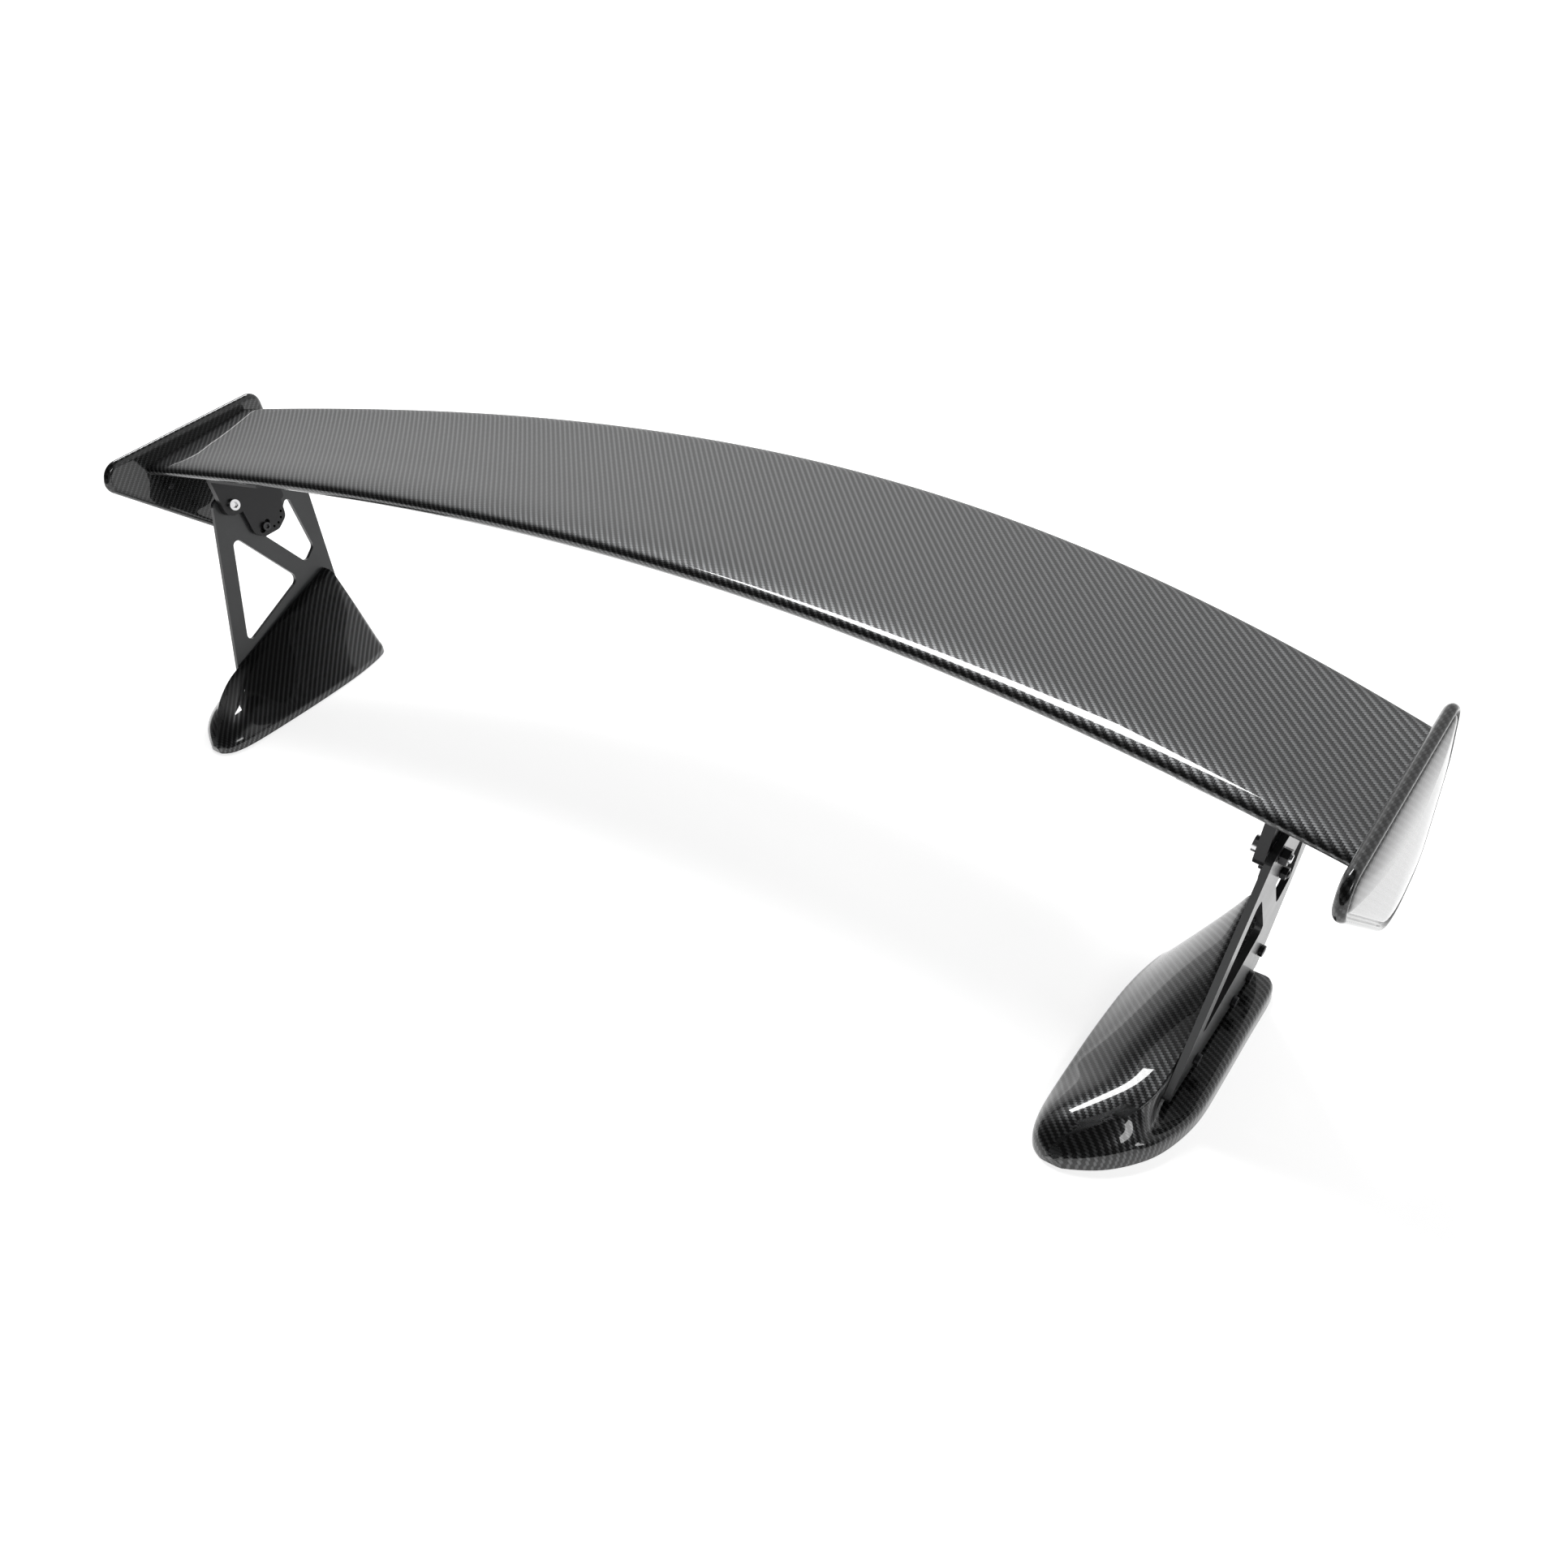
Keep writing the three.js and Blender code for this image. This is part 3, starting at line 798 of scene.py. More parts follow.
class Finish(Enum):
    """The finishes of the wing, by what they cover."""

    # The three twills are one carbon cloth; each part's warp and weft are set lighter or darker after how much light
    # that part catches: painted light and shade.
    BLADE = TwillCarbon("blade_twill", warp=0.135)
    ENDPLATE = TwillCarbon("endplate_twill", warp=0.06, weft=0.012)
    PEDESTAL = TwillCarbon("pedestal_twill", warp=0.1, weft=0.014)
    UPRIGHT = SatinMetal("upright_black_anodised", (0.033, 0.034, 0.035), 0.36, 0.4, coat=0.3)
    BRACKET = SatinMetal("bracket_black_anodised", (0.011, 0.011, 0.012), 0.36, 0.4, coat=0.1)
    BLACK_STEEL = SatinMetal("blackened_steel", (0.05, 0.05, 0.052), 0.32, 0.9)
    BRIGHT_STEEL = SatinMetal("bright_steel", (0.72, 0.72, 0.73), 0.24, 1.0)
    TURNED_ALLOY = SatinMetal("turned_alloy", (0.55, 0.56, 0.57), 0.34, 1.0)
    MACHINED_ALLOY = SatinMetal("machined_alloy", (0.5, 0.51, 0.52), 0.4, 1.0)
    BLACK_PLATE = SatinMetal("black_base_plate", (0.06, 0.06, 0.062), 0.45, 0.6)

    def on(self, piece: Piece) -> None:
        """Dresses a piece in this finish, which is made the first time.

        Args:
            piece: The piece.
        """
        material = bpy.data.materials.get(self.value.name) or self.value.make()
        piece.data.materials.clear()
        piece.data.materials.append(material)


def settle(piece: Piece, body: str, slot: str, *nodes: str) -> None:
    """Makes a finished piece ride, and stand for its nodes.

    Args:
        piece: The piece.
        body: The body that it moves with.
        slot: The record's material slot. Not used.
        nodes: The nodes that it stands for.
    """
    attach(piece, body)
    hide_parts(*nodes)
    log.info("%s: %d faces, for %s", piece.name, len(piece.data.polygons), ", ".join(nodes))


def settle_pair(right: Piece, left: Piece, body: str, slot: str, node: str) -> None:
    """Settles a right-hand piece and its left-hand copy.

    Args:
        right: The right-hand piece.
        left: Its left-hand copy.
        body: The body that they move with.
        slot: The record's material slot.
        node: The name that their two nodes share.
    """
    settle(right, body, slot, f"{node}_right")
    settle(left, body, slot, f"{node}_left")


# Blade

@dataclass
class Blade:
    """The hollow blade: one aerofoil section, swept and twisted along the span."""

    half_span: float = 742.0
    nose_y: float = 224.0
    nose_sweep: float = 95.0
    nose_z: tuple[float, float] = (294.0, 288.0)
    tail_y: float = 479.0
    tail_sweep: float = 195.0
    tail_z: tuple[float, float] = (295.0, 306.0)
    thickness: float = 0.145
    camber: float = 0.05
    camber_at: float = 0.4
    tail_edge: float = 0.7
    skin: float = 2.2
    least_hollow: float = 0.3  # the hollow ends where the section is only this much deeper than the skin
    least_depth: float = 0.25  # half the hollow's height there
    half_count: int = 26
    stations: int = 40

    def chord_line(self, x: float) -> tuple[Vector, Vector, Vector, float]:
        """Finds the chord at a place along the span.

        Args:
            x: Distance from the middle, along the span.

        Returns:
            The nose, the chord's direction, its normal and its length.
        """
        t = (x / self.half_span) ** 2
        nose = Vector((self.nose_y - self.nose_sweep * t, mix(*self.nose_z, t)))
        tail = Vector((self.tail_y - self.tail_sweep * t, mix(*self.tail_z, t)))
        along = (tail - nose).normalized()
        return nose, along, Vector((-along.y, along.x)), (tail - nose).length

    def half_thick(self, s: float, chord: float) -> float:
        """Returns half the section's thickness at a share s of the chord."""
        curve = 0.2969 * math.sqrt(s) - 0.126 * s - 0.3516 * s * s + 0.2843 * s ** 3 - 0.1036 * s ** 4
        return 5 * self.thickness * curve * chord + self.tail_edge * s

    def drop(self, s: float) -> float:
        """Finds how far the mean line sags below the chord.

        Args:
            s: Share of the chord.

        Returns:
            The sag, as a share of the chord.
        """
        at = self.camber_at
        if s < at:
            return self.camber / at ** 2 * (2 * at * s - s * s)
        return self.camber / (1 - at) ** 2 * (1 - 2 * at + 2 * at * s - s * s)

    def point(self, x: float, s: float, off: float) -> Vector:
        """Finds a point of the section.

        Args:
            x: Distance from the middle, along the span.
            s: Share of the chord.
            off: Distance from the mean line.

        Returns:
            The point.
        """
        nose, along, across, chord = self.chord_line(x)
        lift = off - self.drop(s) * chord
        p = nose + along * (s * chord) + across * lift
        return world(x, p.x, p.y)

    def cavity(self, chord: float) -> Point:
        """Finds where the hollow starts and ends.

        Args:
            chord: The chord's length.

        Returns:
            The shares of the chord at its two ends.
        """
        least = self.skin + self.least_hollow

        def find(low: float, high: float) -> float:
            """Finds where the section is just deeper than the skin.

            Args:
                low: A share of the chord where it is too thin.
                high: A share where it is thick.

            Returns:
                The share of the chord between them.
            """
            for _ in range(30):
                middle = (low + high) / 2
                low, high = (low, middle) if self.half_thick(middle, chord) > least else (middle, high)
            return high

        return find(0.0, 0.3) + least / chord / 2, find(1.0, 0.3)

    def ring(self, x: float, depth: float) -> list[Vector]:
        """Draws the section as a ring.

        Args:
            x: Distance from the middle, along the span.
            depth: How far it lies under the outer face.

        Returns:
            The ring, from the top's tail round the nose to the underside's.
        """
        chord = self.chord_line(x)[3]
        start, end = self.cavity(chord) if depth else (0.0, 1.0)
        ring = []
        for i in range(-self.half_count, self.half_count + 1):
            s = mix(start, end, 1 - math.cos(abs(i) / self.half_count * math.pi / 2))
            off = max(self.half_thick(s, chord) - depth, self.least_depth if depth else 0.0)
            ring.append(self.point(x, s, off if i < 0 else -off))
        return ring

    def cloth(self, x: float, ring: Sequence[Vector]) -> list[Point]:
        """Lays the cloth from the nose both ways.

        Args:
            x: Distance from the middle, along the span.
            ring: The section's points.

        Returns:
            Where each point lies on the cloth.
        """
        nose = self.half_count
        places = [(0.0, 0.0)] * len(ring)
        for sign in (-1, 1):
            run = 0.0
            for k in range(1, nose + 1):
                i = nose + sign * k
                run += (ring[i] - ring[i - sign]).length / MM
                places[i] = (x, -sign * run)
        places[nose] = (x, 0.0)
        origin = self.chord_line(x)[0].x
        return [(px, py + origin) for px, py in places]

    def build(self) -> None:
        """Builds the blade's shell, open at both ends as the real one is."""
        xs = spread(-self.half_span, self.half_span, self.stations)
        outer_rings = [self.ring(x, 0.0) for x in xs]
        cloth = [self.cloth(x, r) for x, r in zip(xs, outer_rings)]
        shell = Loft(outer_rings, cloth=cloth).build("blade_shell")
        Bench.subdivide(shell, 1)
        lining = Loft([self.ring(x, self.skin) for x in xs], cloth=cloth).build("blade_lining")
        Bench.edit(lining)
        bpy.ops.mesh.select_all(action="SELECT")
        bpy.ops.mesh.flip_normals()
        Bench.done(lining)
        Bench.subdivide(lining, 1)
        Bench.take(shell, lining)
        bpy.ops.object.join()
        for sign in (-1, 1):
            mesh = Bench.edit(shell, "EDGE")
            for edge in mesh.edges:
                edge.select_set(edge.is_boundary and edge.verts[0].co.x * sign > 0)
            bpy.ops.mesh.bridge_edge_loops()
            Bench.done(shell)
        Bench.smooth(shell, 50)
        Finish.BLADE.on(shell)
        settle(shell, "wing", "blade_carbon", "blade_skin")


# Endplates

@dataclass
class Endplate:
    """The plate that closes each end of the blade: a moulded rim round a swelling outer face."""

    outline: tuple[Corner, ...] = (
        (83, 316, 24), (311, 321, 17), (314, 262, 60), (282, 180, 45), (214, 156, 60), (73, 288, 16),
    )
    inner_face: float = 742.3
    rim: float = 11.0
    bulge: float = 5.0
    groove: float = 2.6
    layers: tuple[Corner, ...] = field(init=False)

    def __post_init__(self) -> None:
        """Sets the layers: distance out from the blade's end, distance in from the outline, pull to the middle."""
        r, b, g = self.rim, self.bulge, self.groove
        self.layers = (
            (0, 12, 0.55), (0, 12, 0.2), (0, 12, 0), (0, 9, 0), (0, 6.5, 0), (0.6, 4.2, 0), (1.6, 2.6, 0),
            (2.8, 1.3, 0), (4.2, 0.4, 0), (5.5, 0, 0), (r - 4.5, 0, 0), (r - 2.6, 0.4, 0), (r - 1.2, 1.2, 0),
            (r - 0.3, 2.3, 0), (r, 3.3, 0), (r - 0.3, 4.3, 0), (r - g * 0.6, 5.3, 0), (r - g, 6.3, 0),
            (r - g * 0.95, 7.4, 0), (r - g * 0.4, 8.4, 0), (r + 0.3, 9.6, 0), (r + b * 0.36, 10, 0.1),
            (r + b * 0.62, 10, 0.22), (r + b * 0.83, 10, 0.38), (r + b * 0.95, 10, 0.56), (r + b, 10, 0.76),
        )

    def rings(self) -> list[list[Vector]]:
        """Draws the layers from the inner face to the outer.

        Returns:
            A ring of points for each layer.
        """
        outline = [Vector(p) for p in rounded(self.outline, 9, 9.0)]
        n = len(outline)
        centre = sum(outline, Vector((0, 0))) / n
        rings = []
        for x, inset, pull in self.layers:
            ring = []
            for i, p in enumerate(outline):
                side = (outline[(i + 1) % n] - outline[i - 1]).normalized()
                inward = Vector((-side.y, side.x))
                if inward.dot(centre - p) < 0:
                    inward.negate()
                q = (p + inward * inset).lerp(centre, pull)
                ring.append(world(self.inner_face + x, q.x, q.y))
            rings.append(ring)
        return rings

    def build(self) -> None:
        """Builds both endplates."""
        rings = self.rings()
        cloth = []
        edge_run = [0.0]
        for a, b in zip(rings[9], rings[9][1:]):
            edge_run.append(edge_run[-1] + (b - a).length / MM)
        for k, ring in enumerate(rings):
            flat = k <= 5 or k >= 17
            cloth.append([
                (p.y / MM, p.z / MM) if flat else (edge_run[i], self.layers[k][0]) for i, p in enumerate(ring)
            ])
        right = Loft(rings, caps=True, cloth=cloth).build("endplate_panel_right")
        Bench.subdivide(right, 1)
        Bench.smooth(right, 60)
        Finish.ENDPLATE.on(right)
        left = Bench.mirror(right, "endplate_panel_left")
        settle_pair(right, left, "wing", "endplate_carbon", "endplate")


# Plates

@dataclass
class LeaningPlane:
    """The plane of the uprights and brackets, which lean outwards at the top."""

    lean: float = math.atan(0.158)
    foot_x: float = 636.5
    reach: float = 20.0  # how far a window's cutter goes to each side

    def matrix(self) -> Matrix:
        """Gives the plane's frame.

        Returns:
            Its own X along Y, its Y up the plate and its Z out of the right side.
        """
        c, s = math.cos(self.lean), math.sin(self.lean)
        return Matrix((
            (0, s, c, self.foot_x * MM), (1, 0, 0, -MID_DEPTH * MM), (0, c, -s, 0), (0, 0, 0, 1),
        ))

    def on(self, y: float, z: float, radius: float = 0.0) -> Corner:
        """Turns a point seen from the side into the plate's own coordinates."""
        return y, z / math.cos(self.lean), radius

    def slab(self, name: str, outline: Sequence[Point], low: float, high: float) -> Piece:
        """Extrudes an outline of the plane between two distances from it.

        Args:
            name: Name of the piece.
            outline: The outline in the plate's coordinates, in millimetres.
            low: Where the slab starts.
            high: Where it ends.

        Returns:
            The slab, still lying in the plate's own frame.
        """
        Bench.clear()
        bpy.ops.mesh.primitive_circle_add(vertices=len(outline), radius=0.01, fill_type="NGON")
        piece = Bench.name(bpy.context.object, name)
        mesh = Bench.edit(piece)
        mesh.verts.ensure_lookup_table()
        for vert, (x, y) in zip(mesh.verts, outline):
            vert.co = Vector((x, y, low)) * MM
        bmesh.update_edit_mesh(piece.data)
        bpy.ops.mesh.select_all(action="SELECT")
        bpy.ops.mesh.extrude_region_move(TRANSFORM_OT_translate={"value": (0, 0, (high - low) * MM)})
        Bench.outwards()
        return Bench.done(piece)

    def outline(self, corners: Sequence[Corner]) -> list[Point]:
        """Rounds the corners of an outline seen from the side."""
        return rounded([self.on(*c) for c in corners], 12, 400)

    def window(self, corners: Sequence[Corner]) -> Piece:
        """Makes the cutter of a window through the plate."""
        return self.slab("window", self.outline(corners), -self.reach, self.reach)

    def hole(self, at: Point, radius: float) -> Piece:
        """Makes the cutter of a round hole through the plate.

        Args:
            at: Where the hole is, seen from the side.
            radius: Its radius.

        Returns:
            The cutter.
        """
        x, y, _ = self.on(*at)
        Bench.clear()
        bpy.ops.mesh.primitive_cylinder_add(
            vertices=40, radius=radius * MM, depth=4 * self.reach * MM, location=(x * MM, y * MM, 0),
        )
        return bpy.context.object


PLANE = LeaningPlane()


@dataclass
class Upright:
    """The windowed plate that carries the blade on each pedestal."""

    thick: float = 6.0
    outline: tuple[Corner, ...] = (
        (80, 21, 4), (158.5, 246, 12), (196, 251, 26), (290, 234, 9), (262.5, 21, 4),
    )
    windows: tuple[tuple[Corner, ...], ...] = (
        ((117, 68, 6), (163, 200, 7), (222, 110, 10)),
        ((202, 182, 3.5), (226, 182, 12), (256, 214, 5), (260.5, 137, 9), (241, 123, 7)),
    )
    pivot: Point = (177.5, 235.4)
    adjuster: Point = (206.5, 192)
    wall_bolts: tuple[Point, ...] = ((127, 34), (203, 32), (236, 33), (246, 59))
    pivot_hole: float = 4.3
    bolt_hole: float = 3.3
    edge: float = 0.5

    def build(self) -> None:
        """Builds both uprights."""
        half = self.thick / 2
        plate = PLANE.slab("upright_plate_right", PLANE.outline(self.outline), -half, half)
        tools = [PLANE.window(w) for w in self.windows]
        tools += [PLANE.hole(self.pivot, self.pivot_hole)]
        tools += [PLANE.hole(at, self.bolt_hole) for at in (self.adjuster, *self.wall_bolts)]
        Bench.cut(plate, *tools)
        Bench.bevel(plate, self.edge, 3, 40)
        Bench.place(plate, PLANE.matrix())
        Bench.smooth(plate, 40)
        Finish.UPRIGHT.on(plate)
        left = Bench.mirror(plate, "upright_plate_left")
        Bench.even(plate, left)
        settle_pair(plate, left, "supports", "upright_alloy", "upright")


@dataclass
class WingBracket:
    """The slotted bracket between the blade's underside and each upright."""

    edge: float = 0.45

    def build(self) -> None:
        """Breaks the edges of both brackets."""
        for side in ("right", "left"):
            node = f"wing_bracket_{side}"
            piece = Bench.copy(frame["nodes"][node], f"bracket_{side}")
            piece.parent = None
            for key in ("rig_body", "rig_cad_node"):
                if key in piece:
                    del piece[key]
            Bench.edit(piece)
            bpy.ops.mesh.select_all(action="SELECT")
            bpy.ops.mesh.remove_doubles(threshold=1e-5)
            bpy.ops.mesh.dissolve_limited(angle_limit=math.radians(2))
            Bench.done(piece)
            Bench.bevel(piece, self.edge)
            Bench.smooth(piece)
            Bench.even(piece)
            Finish.BRACKET.on(piece)
            settle(piece, "wing", "bracket_alloy", node)


# Pedestals

@dataclass
class Pedestal:
    """The hollow foot: a rising ridge with a flank towards the middle and a shelf outside the upright."""

    plan: tuple[Corner, ...] = (
        (-7, 575, 590), (-1, 564, 603), (9, 557, 620), (26, 552.5, 638), (50, 550.5, 654), (92, 549, 665),
        (140, 548.5, 665.5), (200, 551, 664.5), (248, 561, 664), (260, 574, 659),
    )
    ridge: tuple[Point, ...] = (
        (-7, 7), (-1, 16), (9, 23), (26, 31), (50, 38.5), (92, 52), (140, 68), (200, 88), (248, 103), (260, 107),
    )
    crest_width: float = 18.0
    shelf: float = 16.0
    skirt: float = 10.0
    shell: float = 3.0
    wall_start: float = 74.0
    half_plate: float = 3.3  # from the upright's middle to the pedestal's wall
    clear: float = 0.25  # how high the feet of the shell stand
    stations: tuple[float, ...] = (
        -6.6, -5.8, -4, -1, 3, 8, 14, 21, 30, 40, 52, 64, 74, 84, 96, 112, 130, 150, 170, 190, 208, 225, 238, 248,
    )

    def wall_x(self, z: float) -> float:
        """Returns where the wall beside the upright stands at a height."""
        return PLANE.foot_x + math.tan(PLANE.lean) * z - self.half_plate / math.cos(PLANE.lean)

    def section(self, y: float) -> list[Vector]:
        """Draws the section at one place.

        Args:
            y: Where it stands.

        Returns:
            Its points, from the inner foot over the ridge to the outer foot.
        """
        inner, outer = smooth_curve(self.plan, y, 1), smooth_curve(self.plan, y, 2)
        top = smooth_curve(self.ridge, y, 1)
        ledge = min(self.shelf, top * 0.72)
        rise = min(self.skirt, top * 0.45)
        free = smoothstep(y, 0, self.wall_start)
        crest = mix(mix(inner, outer, 0.5), self.wall_x(top), free)
        wall_foot = mix(mix(crest, outer, 0.55), self.wall_x(ledge), free)
        points = [(inner, 0.0), (inner, rise * 0.3), (inner, rise * 0.6)]
        points += [(inner + 1.2, rise * 0.88), (inner + 4, rise + 1)]
        belly = 0.02 + 0.12 * (smoothstep(y, 20, 90) - smoothstep(y, 140, 245))
        shoulder = crest - mix(4, self.crest_width, smoothstep(y, 92, 250))
        for u in (0.1, 0.2, 0.32, 0.44, 0.56, 0.68, 0.8, 0.9, 0.96):
            full = math.sin(u * math.pi / 2)
            swell = mix(full, u + belly * math.sin(u * math.pi), smoothstep(y, 20, 170))
            points.append((mix(inner + 4, shoulder - 1, u), mix(rise + 1, top - 1.5, swell)))
        points += [(shoulder + 1, top - 0.4), (mix(shoulder, crest, 0.5), top - 0.1), (crest - 1.6, top)]
        points += [(crest - 0.2, top - 0.6), (crest, top - 2.2)]
        points += [(mix(crest, wall_foot, t), mix(top - 2.2, ledge + 2.5, t)) for t in (0.33, 0.66)]
        points += [(wall_foot, ledge + 2.5), (wall_foot + 0.7, ledge + 0.6), (wall_foot + 2.6, ledge)]
        points += [(mix(wall_foot, outer, t), ledge - 0.3 * t) for t in (0.35, 0.6)]
        bend = min(7, ledge * 0.6)
        points += [(outer - off, ledge - bend * fall) for off, fall in ((4.5, 0.1), (2.2, 0.3), (0.7, 0.6))]
        points += [(outer, ledge - bend), (outer, (ledge - bend) * 0.5), (outer, 0.0)]
        points = self._rounded_nose(points, y, inner, outer, top)
        return [world(x, y, max(z, self.clear)) for x, z in points]

    @staticmethod
    def _rounded_nose(points: Sequence[Point], y: float, inner: float, outer: float, top: float) -> list[Point]:
        """Draws a section towards an arch, the more the nearer it is to the nose.

        Args:
            points: The section.
            y: Where it stands.
            inner: Its inner foot.
            outer: Its outer foot.
            top: Its height.

        Returns:
            The section with its share of the arch.
        """
        run = [0.0]
        for a, b in zip(points, points[1:]):
            run.append(run[-1] + math.dist(a, b))
        share = 0.85 * (1 - smoothstep(y, 12, 92))
        middle, half, power = (inner + outer) / 2, (outer - inner) / 2, 2 / 2.5
        drawn = []
        for (x, z), r in zip(points, run):
            angle = math.pi * r / run[-1]
            arch_x = middle - math.copysign(abs(math.cos(angle)) ** power, math.cos(angle)) * half
            arch_z = top * abs(math.sin(angle)) ** power
            drawn.append((mix(x, arch_x, share), mix(z, arch_z, share)))
        return drawn

    def build(self) -> None:
        """Builds both pedestals."""
        last = self.plan[-1][0]
        ys = [*self.stations, last - 5, last - 2, last - 0.4, last]
        sections = [self.section(y) for y in ys]
        cloth = [self._cloth(y, s) for y, s in zip(ys, sections)]
        right = Loft(sections, closed=False, caps=True, cloth=cloth, flat_ends=True).build("pedestal_shell_right")
        Bench.subdivide(right, 2)
        Bench.modify(right, "SOLIDIFY", thickness=self.shell * MM, offset=-1, use_even_offset=False)
        Bench.smooth(right, 50)
        Finish.PEDESTAL.on(right)
        left = Bench.mirror(right, "pedestal_shell_left")
        settle_pair(right, left, "supports", "pedestal_carbon", "pedestal")

    @staticmethod
    def _cloth(y: float, section: Sequence[Vector]) -> list[Point]:
        """Lays one sheet of cloth from each foot to the ridge.

        Args:
            y: Where the section stands.
            section: Its points.

        Returns:
            Where each point lies on the cloth.
        """
        crest = max(range(len(section)), key=lambda i: section[i].z)
        last = len(section) - 1
        places = [(0.0, y)] * len(section)
        for start, sign, across, along in ((0, 1, 1.0, 1.0), (last, -1, 0.7, 1.35)):
            run, i = section[start].x / MM, start
            places[start] = (run * across, y * along)
            while i != (crest if sign > 0 else crest + 1):
                i += sign
                run += sign * (section[i] - section[i - sign]).length / MM
                places[i] = (run * across, y * along)
        return places


# Fasteners

@dataclass(frozen=True)
class Screw:
    """A socket-head screw along Z: the head stands above the origin and the shank hangs below it."""

    thread: float
    head: float
    height: float
    length: float
    point: float = 0.7
    taper: float = 0.82
    socket: float = 0.56
    edge: float = 0.35

    def build(self, name: str) -> Piece:
        """Models the screw.

        Args:
            name: Its name.

        Returns:
            The screw.
        """
        piece = Bench.cylinder(name, 48, self.head, self.height)
        mesh = Bench.edit(piece, "FACE")
        for face in mesh.faces:
            face.select_set(face.normal.z < -0.9)
        bpy.ops.mesh.inset(thickness=(self.head - self.thread) * MM)
        for length in (self.length - self.point, self.point):
            bpy.ops.mesh.extrude_region_move(TRANSFORM_OT_translate={"value": (0, 0, -length * MM)})
        bpy.ops.transform.resize(value=(self.taper, self.taper, 1))
        Bench.outwards()
        Bench.done(piece)
        bpy.ops.mesh.primitive_cylinder_add(
            vertices=6, radius=self.head * self.socket * MM, depth=self.height * 1.2 * MM,
            location=(0, 0, self.height * MM),
        )
        Bench.cut(piece, bpy.context.object)
        Bench.bevel(piece, self.edge)
        Bench.smooth(piece)
        return piece


@dataclass(frozen=True)
class Nut:
    """A hexagon nut or a round spacer along Z, standing on the origin."""

    bore: float
    radius: float
    height: float
    sides: int = 6
    edge: float = 0.4

    def build(self, name: str) -> Piece:
        """Models the nut.

        Args:
            name: Its name.

        Returns:
            The nut.
        """
        piece = Bench.cylinder(name, self.sides, self.radius, self.height)
        bpy.ops.mesh.primitive_cylinder_add(vertices=32, radius=self.bore * MM, depth=self.height * 3 * MM)
        Bench.cut(piece, bpy.context.object)
        Bench.bevel(piece, self.edge)
        Bench.smooth(piece)
        return piece


@dataclass
class Fasteners:
    """Every screw, nut and spacer, each standing where its node does."""

    upright: Upright
    blade: Blade
    bracket_gap: float = 1.4
    arm: float = 9.0
    lobe: float = 5.0
    flange: float = 4.0
    gap: float = 0.3  # between neighbouring solids
    adjuster_gap: float = 0.7
    flange_holes: tuple[Point, ...] = ((606.0, 57.0), (606.0, 79.0), (656.0, 57.0), (656.0, 79.0))

    def _across(self, at: Point, distance: float, turned: bool) -> Matrix:
        """Returns the place of a fastener across the plate.

        Args:
            at: Where it stands, seen from the side.
            distance: Its seat's distance from the plate's middle.
            turned: Whether its head points to the object's middle.

        Returns:
            The matrix that puts it there.
        """
        x, y, _ = PLANE.on(*at)
        spin = Matrix.Rotation(math.pi, 4, "X") if turned else Matrix.Identity(4)
        return PLANE.matrix() @ Matrix.Translation(Vector((x, y, distance)) * MM) @ spin

    def _add(self, part: Screw | Nut, node: str, where: Matrix, finish: Finish, slot: str, body: str) -> None:
        """Adds a fastener on the right and its mirror image on the left.

        Args:
            part: The fastener.
            node: The name that its two nodes share.
            where: The right-hand one's place.
            finish: Its finish.
            slot: The record's material slot.
            body: The body that it moves with.
        """
        right = Bench.place(part.build(f"{node}_detail_right"), where)
        finish.on(right)
        left = Bench.mirror(right, f"{node}_detail_left")
        Bench.even(right, left)
        settle_pair(right, left, body, slot, node)

    def build(self) -> None:
        """Builds them all."""
        u, gap = self.upright, self.gap
        outside = u.thick / 2 + gap
        face = -u.thick / 2 - self.bracket_gap
        through = self.bracket_gap + u.thick
        black, bright = (Finish.BLACK_STEEL, "fastener_steel"), (Finish.BRIGHT_STEEL, "pivot_steel")
        wall = Screw(3.0, 5.4, 4.0, 15.0)
        rows = [(wall, f"wall_bolt_{i}", at, outside, False, *black) for i, at in enumerate(u.wall_bolts, 1)]
        pivot = Screw(3.8, 7.0, 5.0, self.arm + through + 9)
        rows.append((pivot, "pivot_bolt", u.pivot, face - self.arm - gap, True, *bright))
        rows.append((Nut(4.15, 7.5, 6.5), "pivot_nut", u.pivot, outside, False, *black))
        spacer = Nut(4.15, 8.0, self.bracket_gap - 2 * gap, 48, 0.1)
        rows.append((spacer, "pivot_spacer", u.pivot, face + gap, False, Finish.TURNED_ALLOY, "spacer_alloy"))
        adjust = Screw(3.0, 5.4, 4.0, self.lobe + through + 7.5)
        rows.append((adjust, "adjust_bolt", u.adjuster, face - self.lobe - self.adjuster_gap, True, *black))
        rows.append((Nut(3.15, 5.77, 5.0), "adjust_nut", u.adjuster, outside, False, *black))
        for part, node, at, seat, turned, finish, slot in rows:
            self._add(part, node, self._across(at, seat, turned), finish, slot, "supports")
        self._flange_screws()

    def _flange_screws(self) -> None:
        """Adds the screws that hold each bracket's flange to the blade."""
        blade = self.blade
        screw = Screw(2.5, 4.6, 3.0, self.flange + blade.skin + 9)
        for number, (x, depth) in enumerate(self.flange_holes, 1):
            chord = blade.chord_line(x)[3]
            s = depth / chord
            seat, ahead, beside = (
                blade.point(px, ps, -blade.half_thick(ps, chord)) for px, ps in ((x, s), (x, s + 0.02), (x + 4, s))
            )
            up = (beside - seat).cross(ahead - seat).normalized()
            up = up if up.z > 0 else -up
            origin = seat - up * (2 * self.gap + self.flange) * MM
            where = Matrix.Translation(origin) @ (-up).to_track_quat("Z", "Y").to_matrix().to_4x4()
            self._add(screw, f"flange_screw_{number}", where, Finish.BLACK_STEEL, "fastener_steel", "wing")


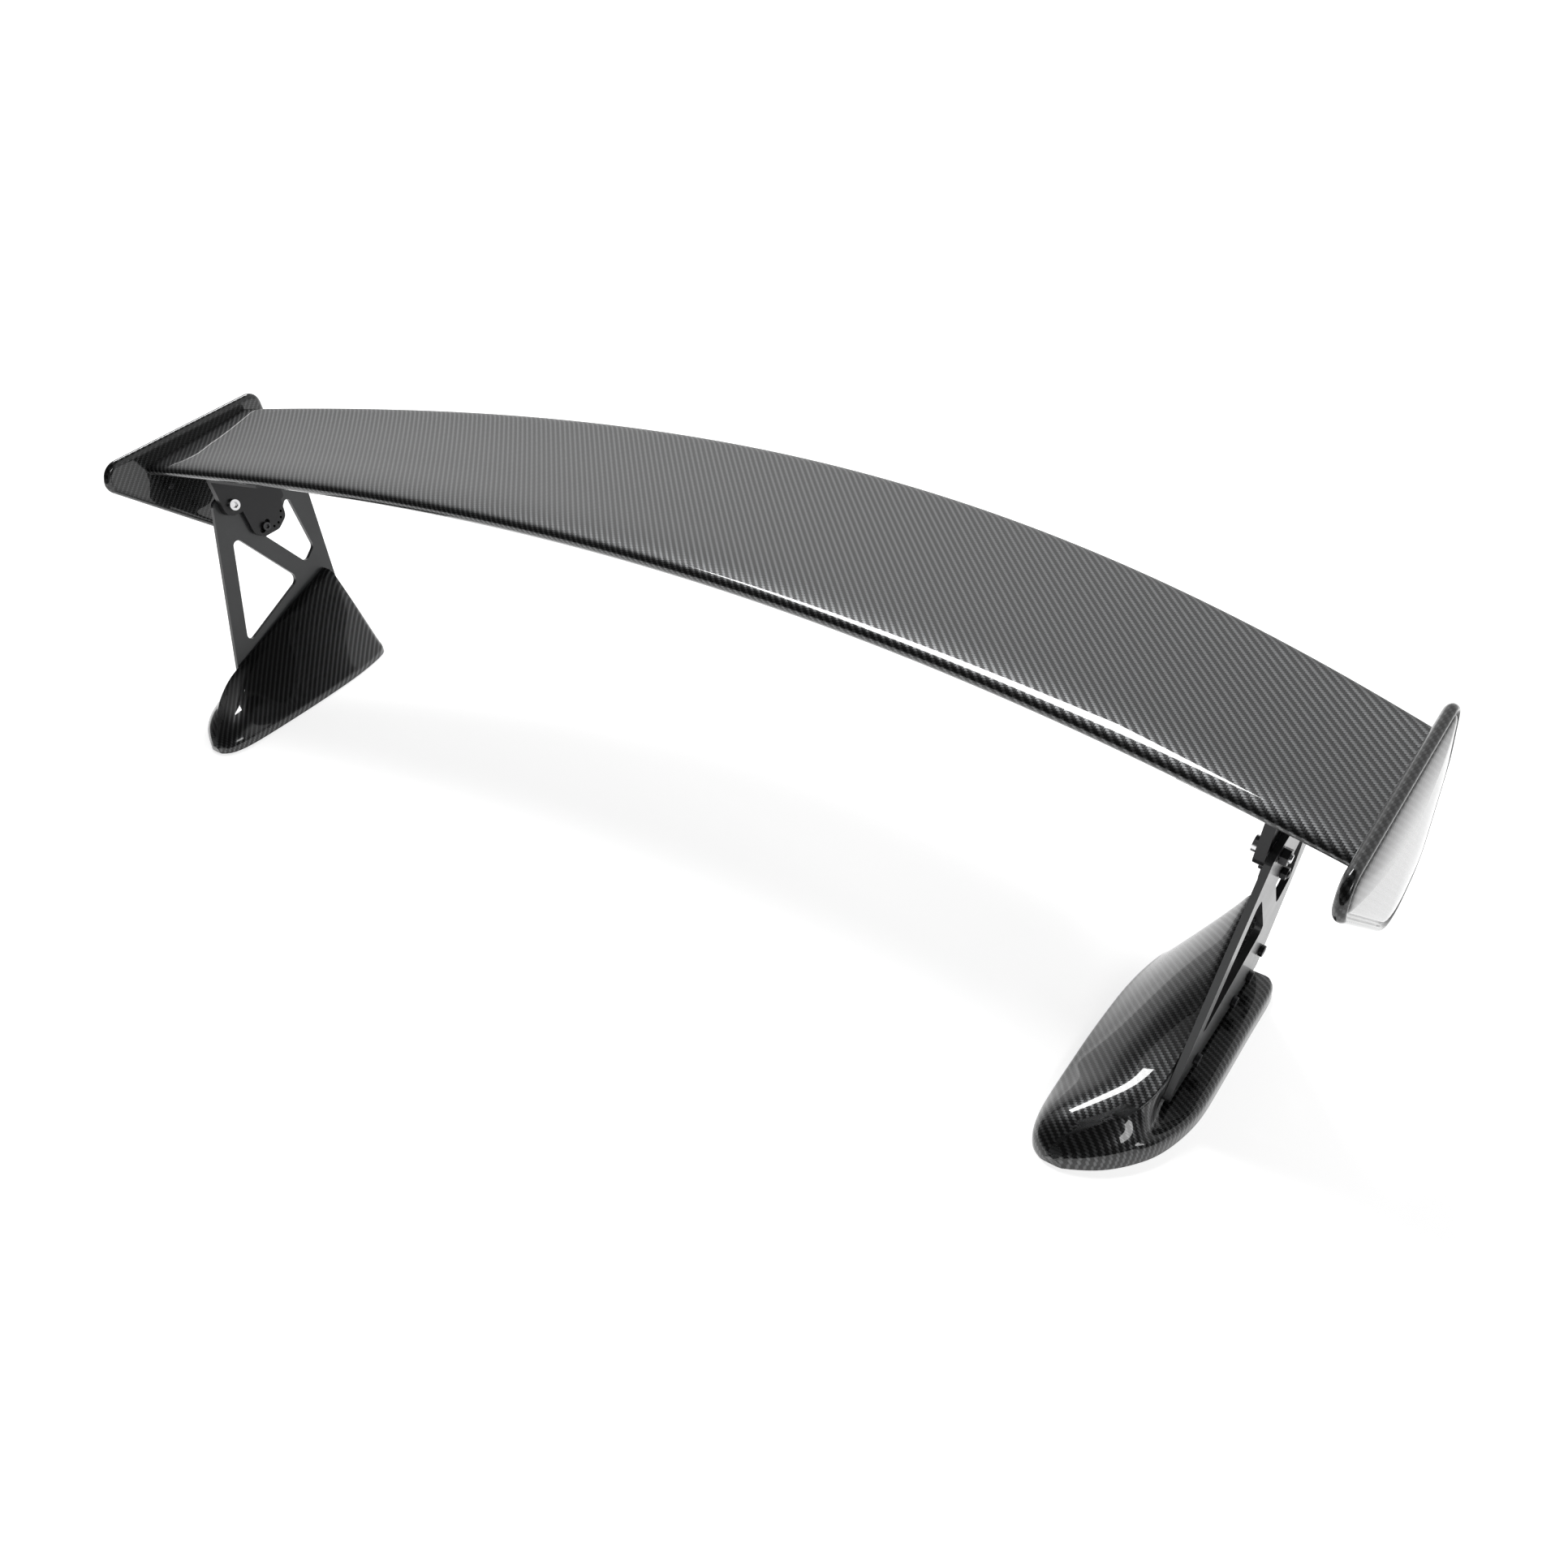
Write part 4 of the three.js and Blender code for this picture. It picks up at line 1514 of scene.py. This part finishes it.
@dataclass
class InnerParts:
    """The frame's own solids that stay as they are, in their finishes."""

    pairs: tuple[tuple[str, Finish], ...] = (
        ("end_rib", Finish.MACHINED_ALLOY), ("mount_block", Finish.MACHINED_ALLOY),
        ("pedestal_base", Finish.BLACK_PLATE), ("backing_plate", Finish.MACHINED_ALLOY),
    )

    def build(self) -> None:
        """Dresses them."""
        nodes = [("blade_spar", Finish.MACHINED_ALLOY)]
        nodes += [(f"{name}_{side}", finish) for name, finish in self.pairs for side in ("right", "left")]
        for node, finish in nodes:
            finish.on(frame["nodes"][node])
            log.info("%s keeps its shape", node)


# Studio

@dataclass
class Studio:
    """A pale floor, a soft room and the camera."""

    camera_at: tuple[float, float, float] = (0.9169, -0.8637, 0.9697)
    azimuth: float = 0.7347
    elevation: float = 0.6672
    roll: float = -0.1492
    lens: float = 32.12
    floor_size: float = 30.0
    floor_tone: float = 0.86
    floor_glow: float = 0.72
    room_light: Point = (0.07, 0.95)
    lamps: tuple[tuple[str, Corner, float, Point, float], ...] = (
        ("window_light", (-0.42, 0.39, 0.82), 9.0, (4.4, 1.5), 420.0),
        ("side_light", (0.8, -0.25, 0.55), 5.0, (1.6, 0.9), 30.0),
    )

    def build(self) -> None:
        """Sets the stage."""
        self._floor()
        self._room()
        for lamp in self.lamps:
            self._lamp(*lamp)
        self._camera()
        bpy.context.scene.view_settings.view_transform = "Standard"

    def _floor(self) -> None:
        """Lays the floor."""
        Bench.clear()
        bpy.ops.mesh.primitive_circle_add(
            vertices=96, radius=self.floor_size, fill_type="NGON", location=(0, 0, -0.0005),
        )
        floor = Bench.name(bpy.context.object, "floor")
        g = SurfaceGraph("pale_floor")
        g.set({
            "Base Color": (self.floor_tone, self.floor_tone, self.floor_tone, 1), "Roughness": 0.9,
            "Emission Color": (1, 1, 1, 1), "Emission Strength": self.floor_glow,
        })
        floor.data.materials.append(g.material)

    def _room(self) -> None:
        """Makes the room: bright low down behind the wing, dim overhead and in front."""
        room = bpy.data.worlds.new("room")
        bpy.context.scene.world = room
        g = Graph(room)
        split = g.node("ShaderNodeSeparateXYZ")
        g.feed(split.inputs[0], g.node("ShaderNodeTexCoord").outputs["Generated"])
        low = g.remap(split.outputs[2], 0.78, 0.9, 1.0, 0.0, "SMOOTHSTEP")
        back = g.remap(split.outputs[1], -0.1, 0.4, 0.0, 1.0, "SMOOTHSTEP")
        background = g.node("ShaderNodeBackground")
        g.feed(background.inputs["Strength"], g.remap(g.math("MULTIPLY", low, back), 0.0, 1.0, *self.room_light))
        g.feed(g.node("ShaderNodeOutputWorld").inputs[0], background.outputs[0])

    def _lamp(self, name: str, towards: Sequence[float], distance: float, size: Point, power: float) -> None:
        """Hangs a soft rectangular lamp that faces the wing.

        Args:
            name: Its name.
            towards: Where it hangs, seen from the wing.
            distance: How far away, in metres.
            size: Its two sides in metres.
            power: Its power in watts.
        """
        way = Vector(towards).normalized()
        Bench.clear()
        bpy.ops.object.light_add(type="AREA", location=way * distance + Vector((0, 0, 0.2)))
        lamp = bpy.context.object
        lamp.name = name
        lamp.rotation_euler = way.to_track_quat("Z", "Y").to_euler()
        lamp.data.shape = "RECTANGLE"
        lamp.data.size, lamp.data.size_y = size
        lamp.data.energy = power

    def _camera(self) -> None:
        """Puts the camera at its angle."""
        ca, sa = math.cos(self.azimuth), math.sin(self.azimuth)
        ce, se = math.cos(self.elevation), math.sin(self.elevation)
        ahead = Vector((-sa * ce, ca * ce, -se))
        right = ahead.cross(Vector((0, 0, 1))).normalized()
        up = right.cross(ahead)
        c, s = math.cos(self.roll), math.sin(self.roll)
        turned_right, turned_up = right * c + up * s, up * c - right * s
        Bench.clear()
        bpy.ops.object.camera_add(location=self.camera_at)
        camera = bpy.context.object
        camera.name = "camera"
        camera.rotation_mode = "QUATERNION"
        camera.rotation_quaternion = Matrix((turned_right, turned_up, -ahead)).transposed().to_quaternion()
        camera.data.lens = self.lens
        camera.data.sensor_width = 36.0
        camera.data.clip_start, camera.data.clip_end = 0.01, 100.0
        bpy.context.scene.camera = camera


def main() -> None:
    """Builds the wing from the blade down, then the studio."""
    logging.basicConfig(level=logging.INFO, format="%(name)s: %(message)s")
    blade, upright = Blade(), Upright()
    wing = (blade, Endplate(), upright, WingBracket(), Pedestal(), Fasteners(upright, blade), InnerParts())
    for part in (*wing, Studio()):
        log.info("building %s", type(part).__name__)
        part.build()


if __name__ == "__main__":
    main()
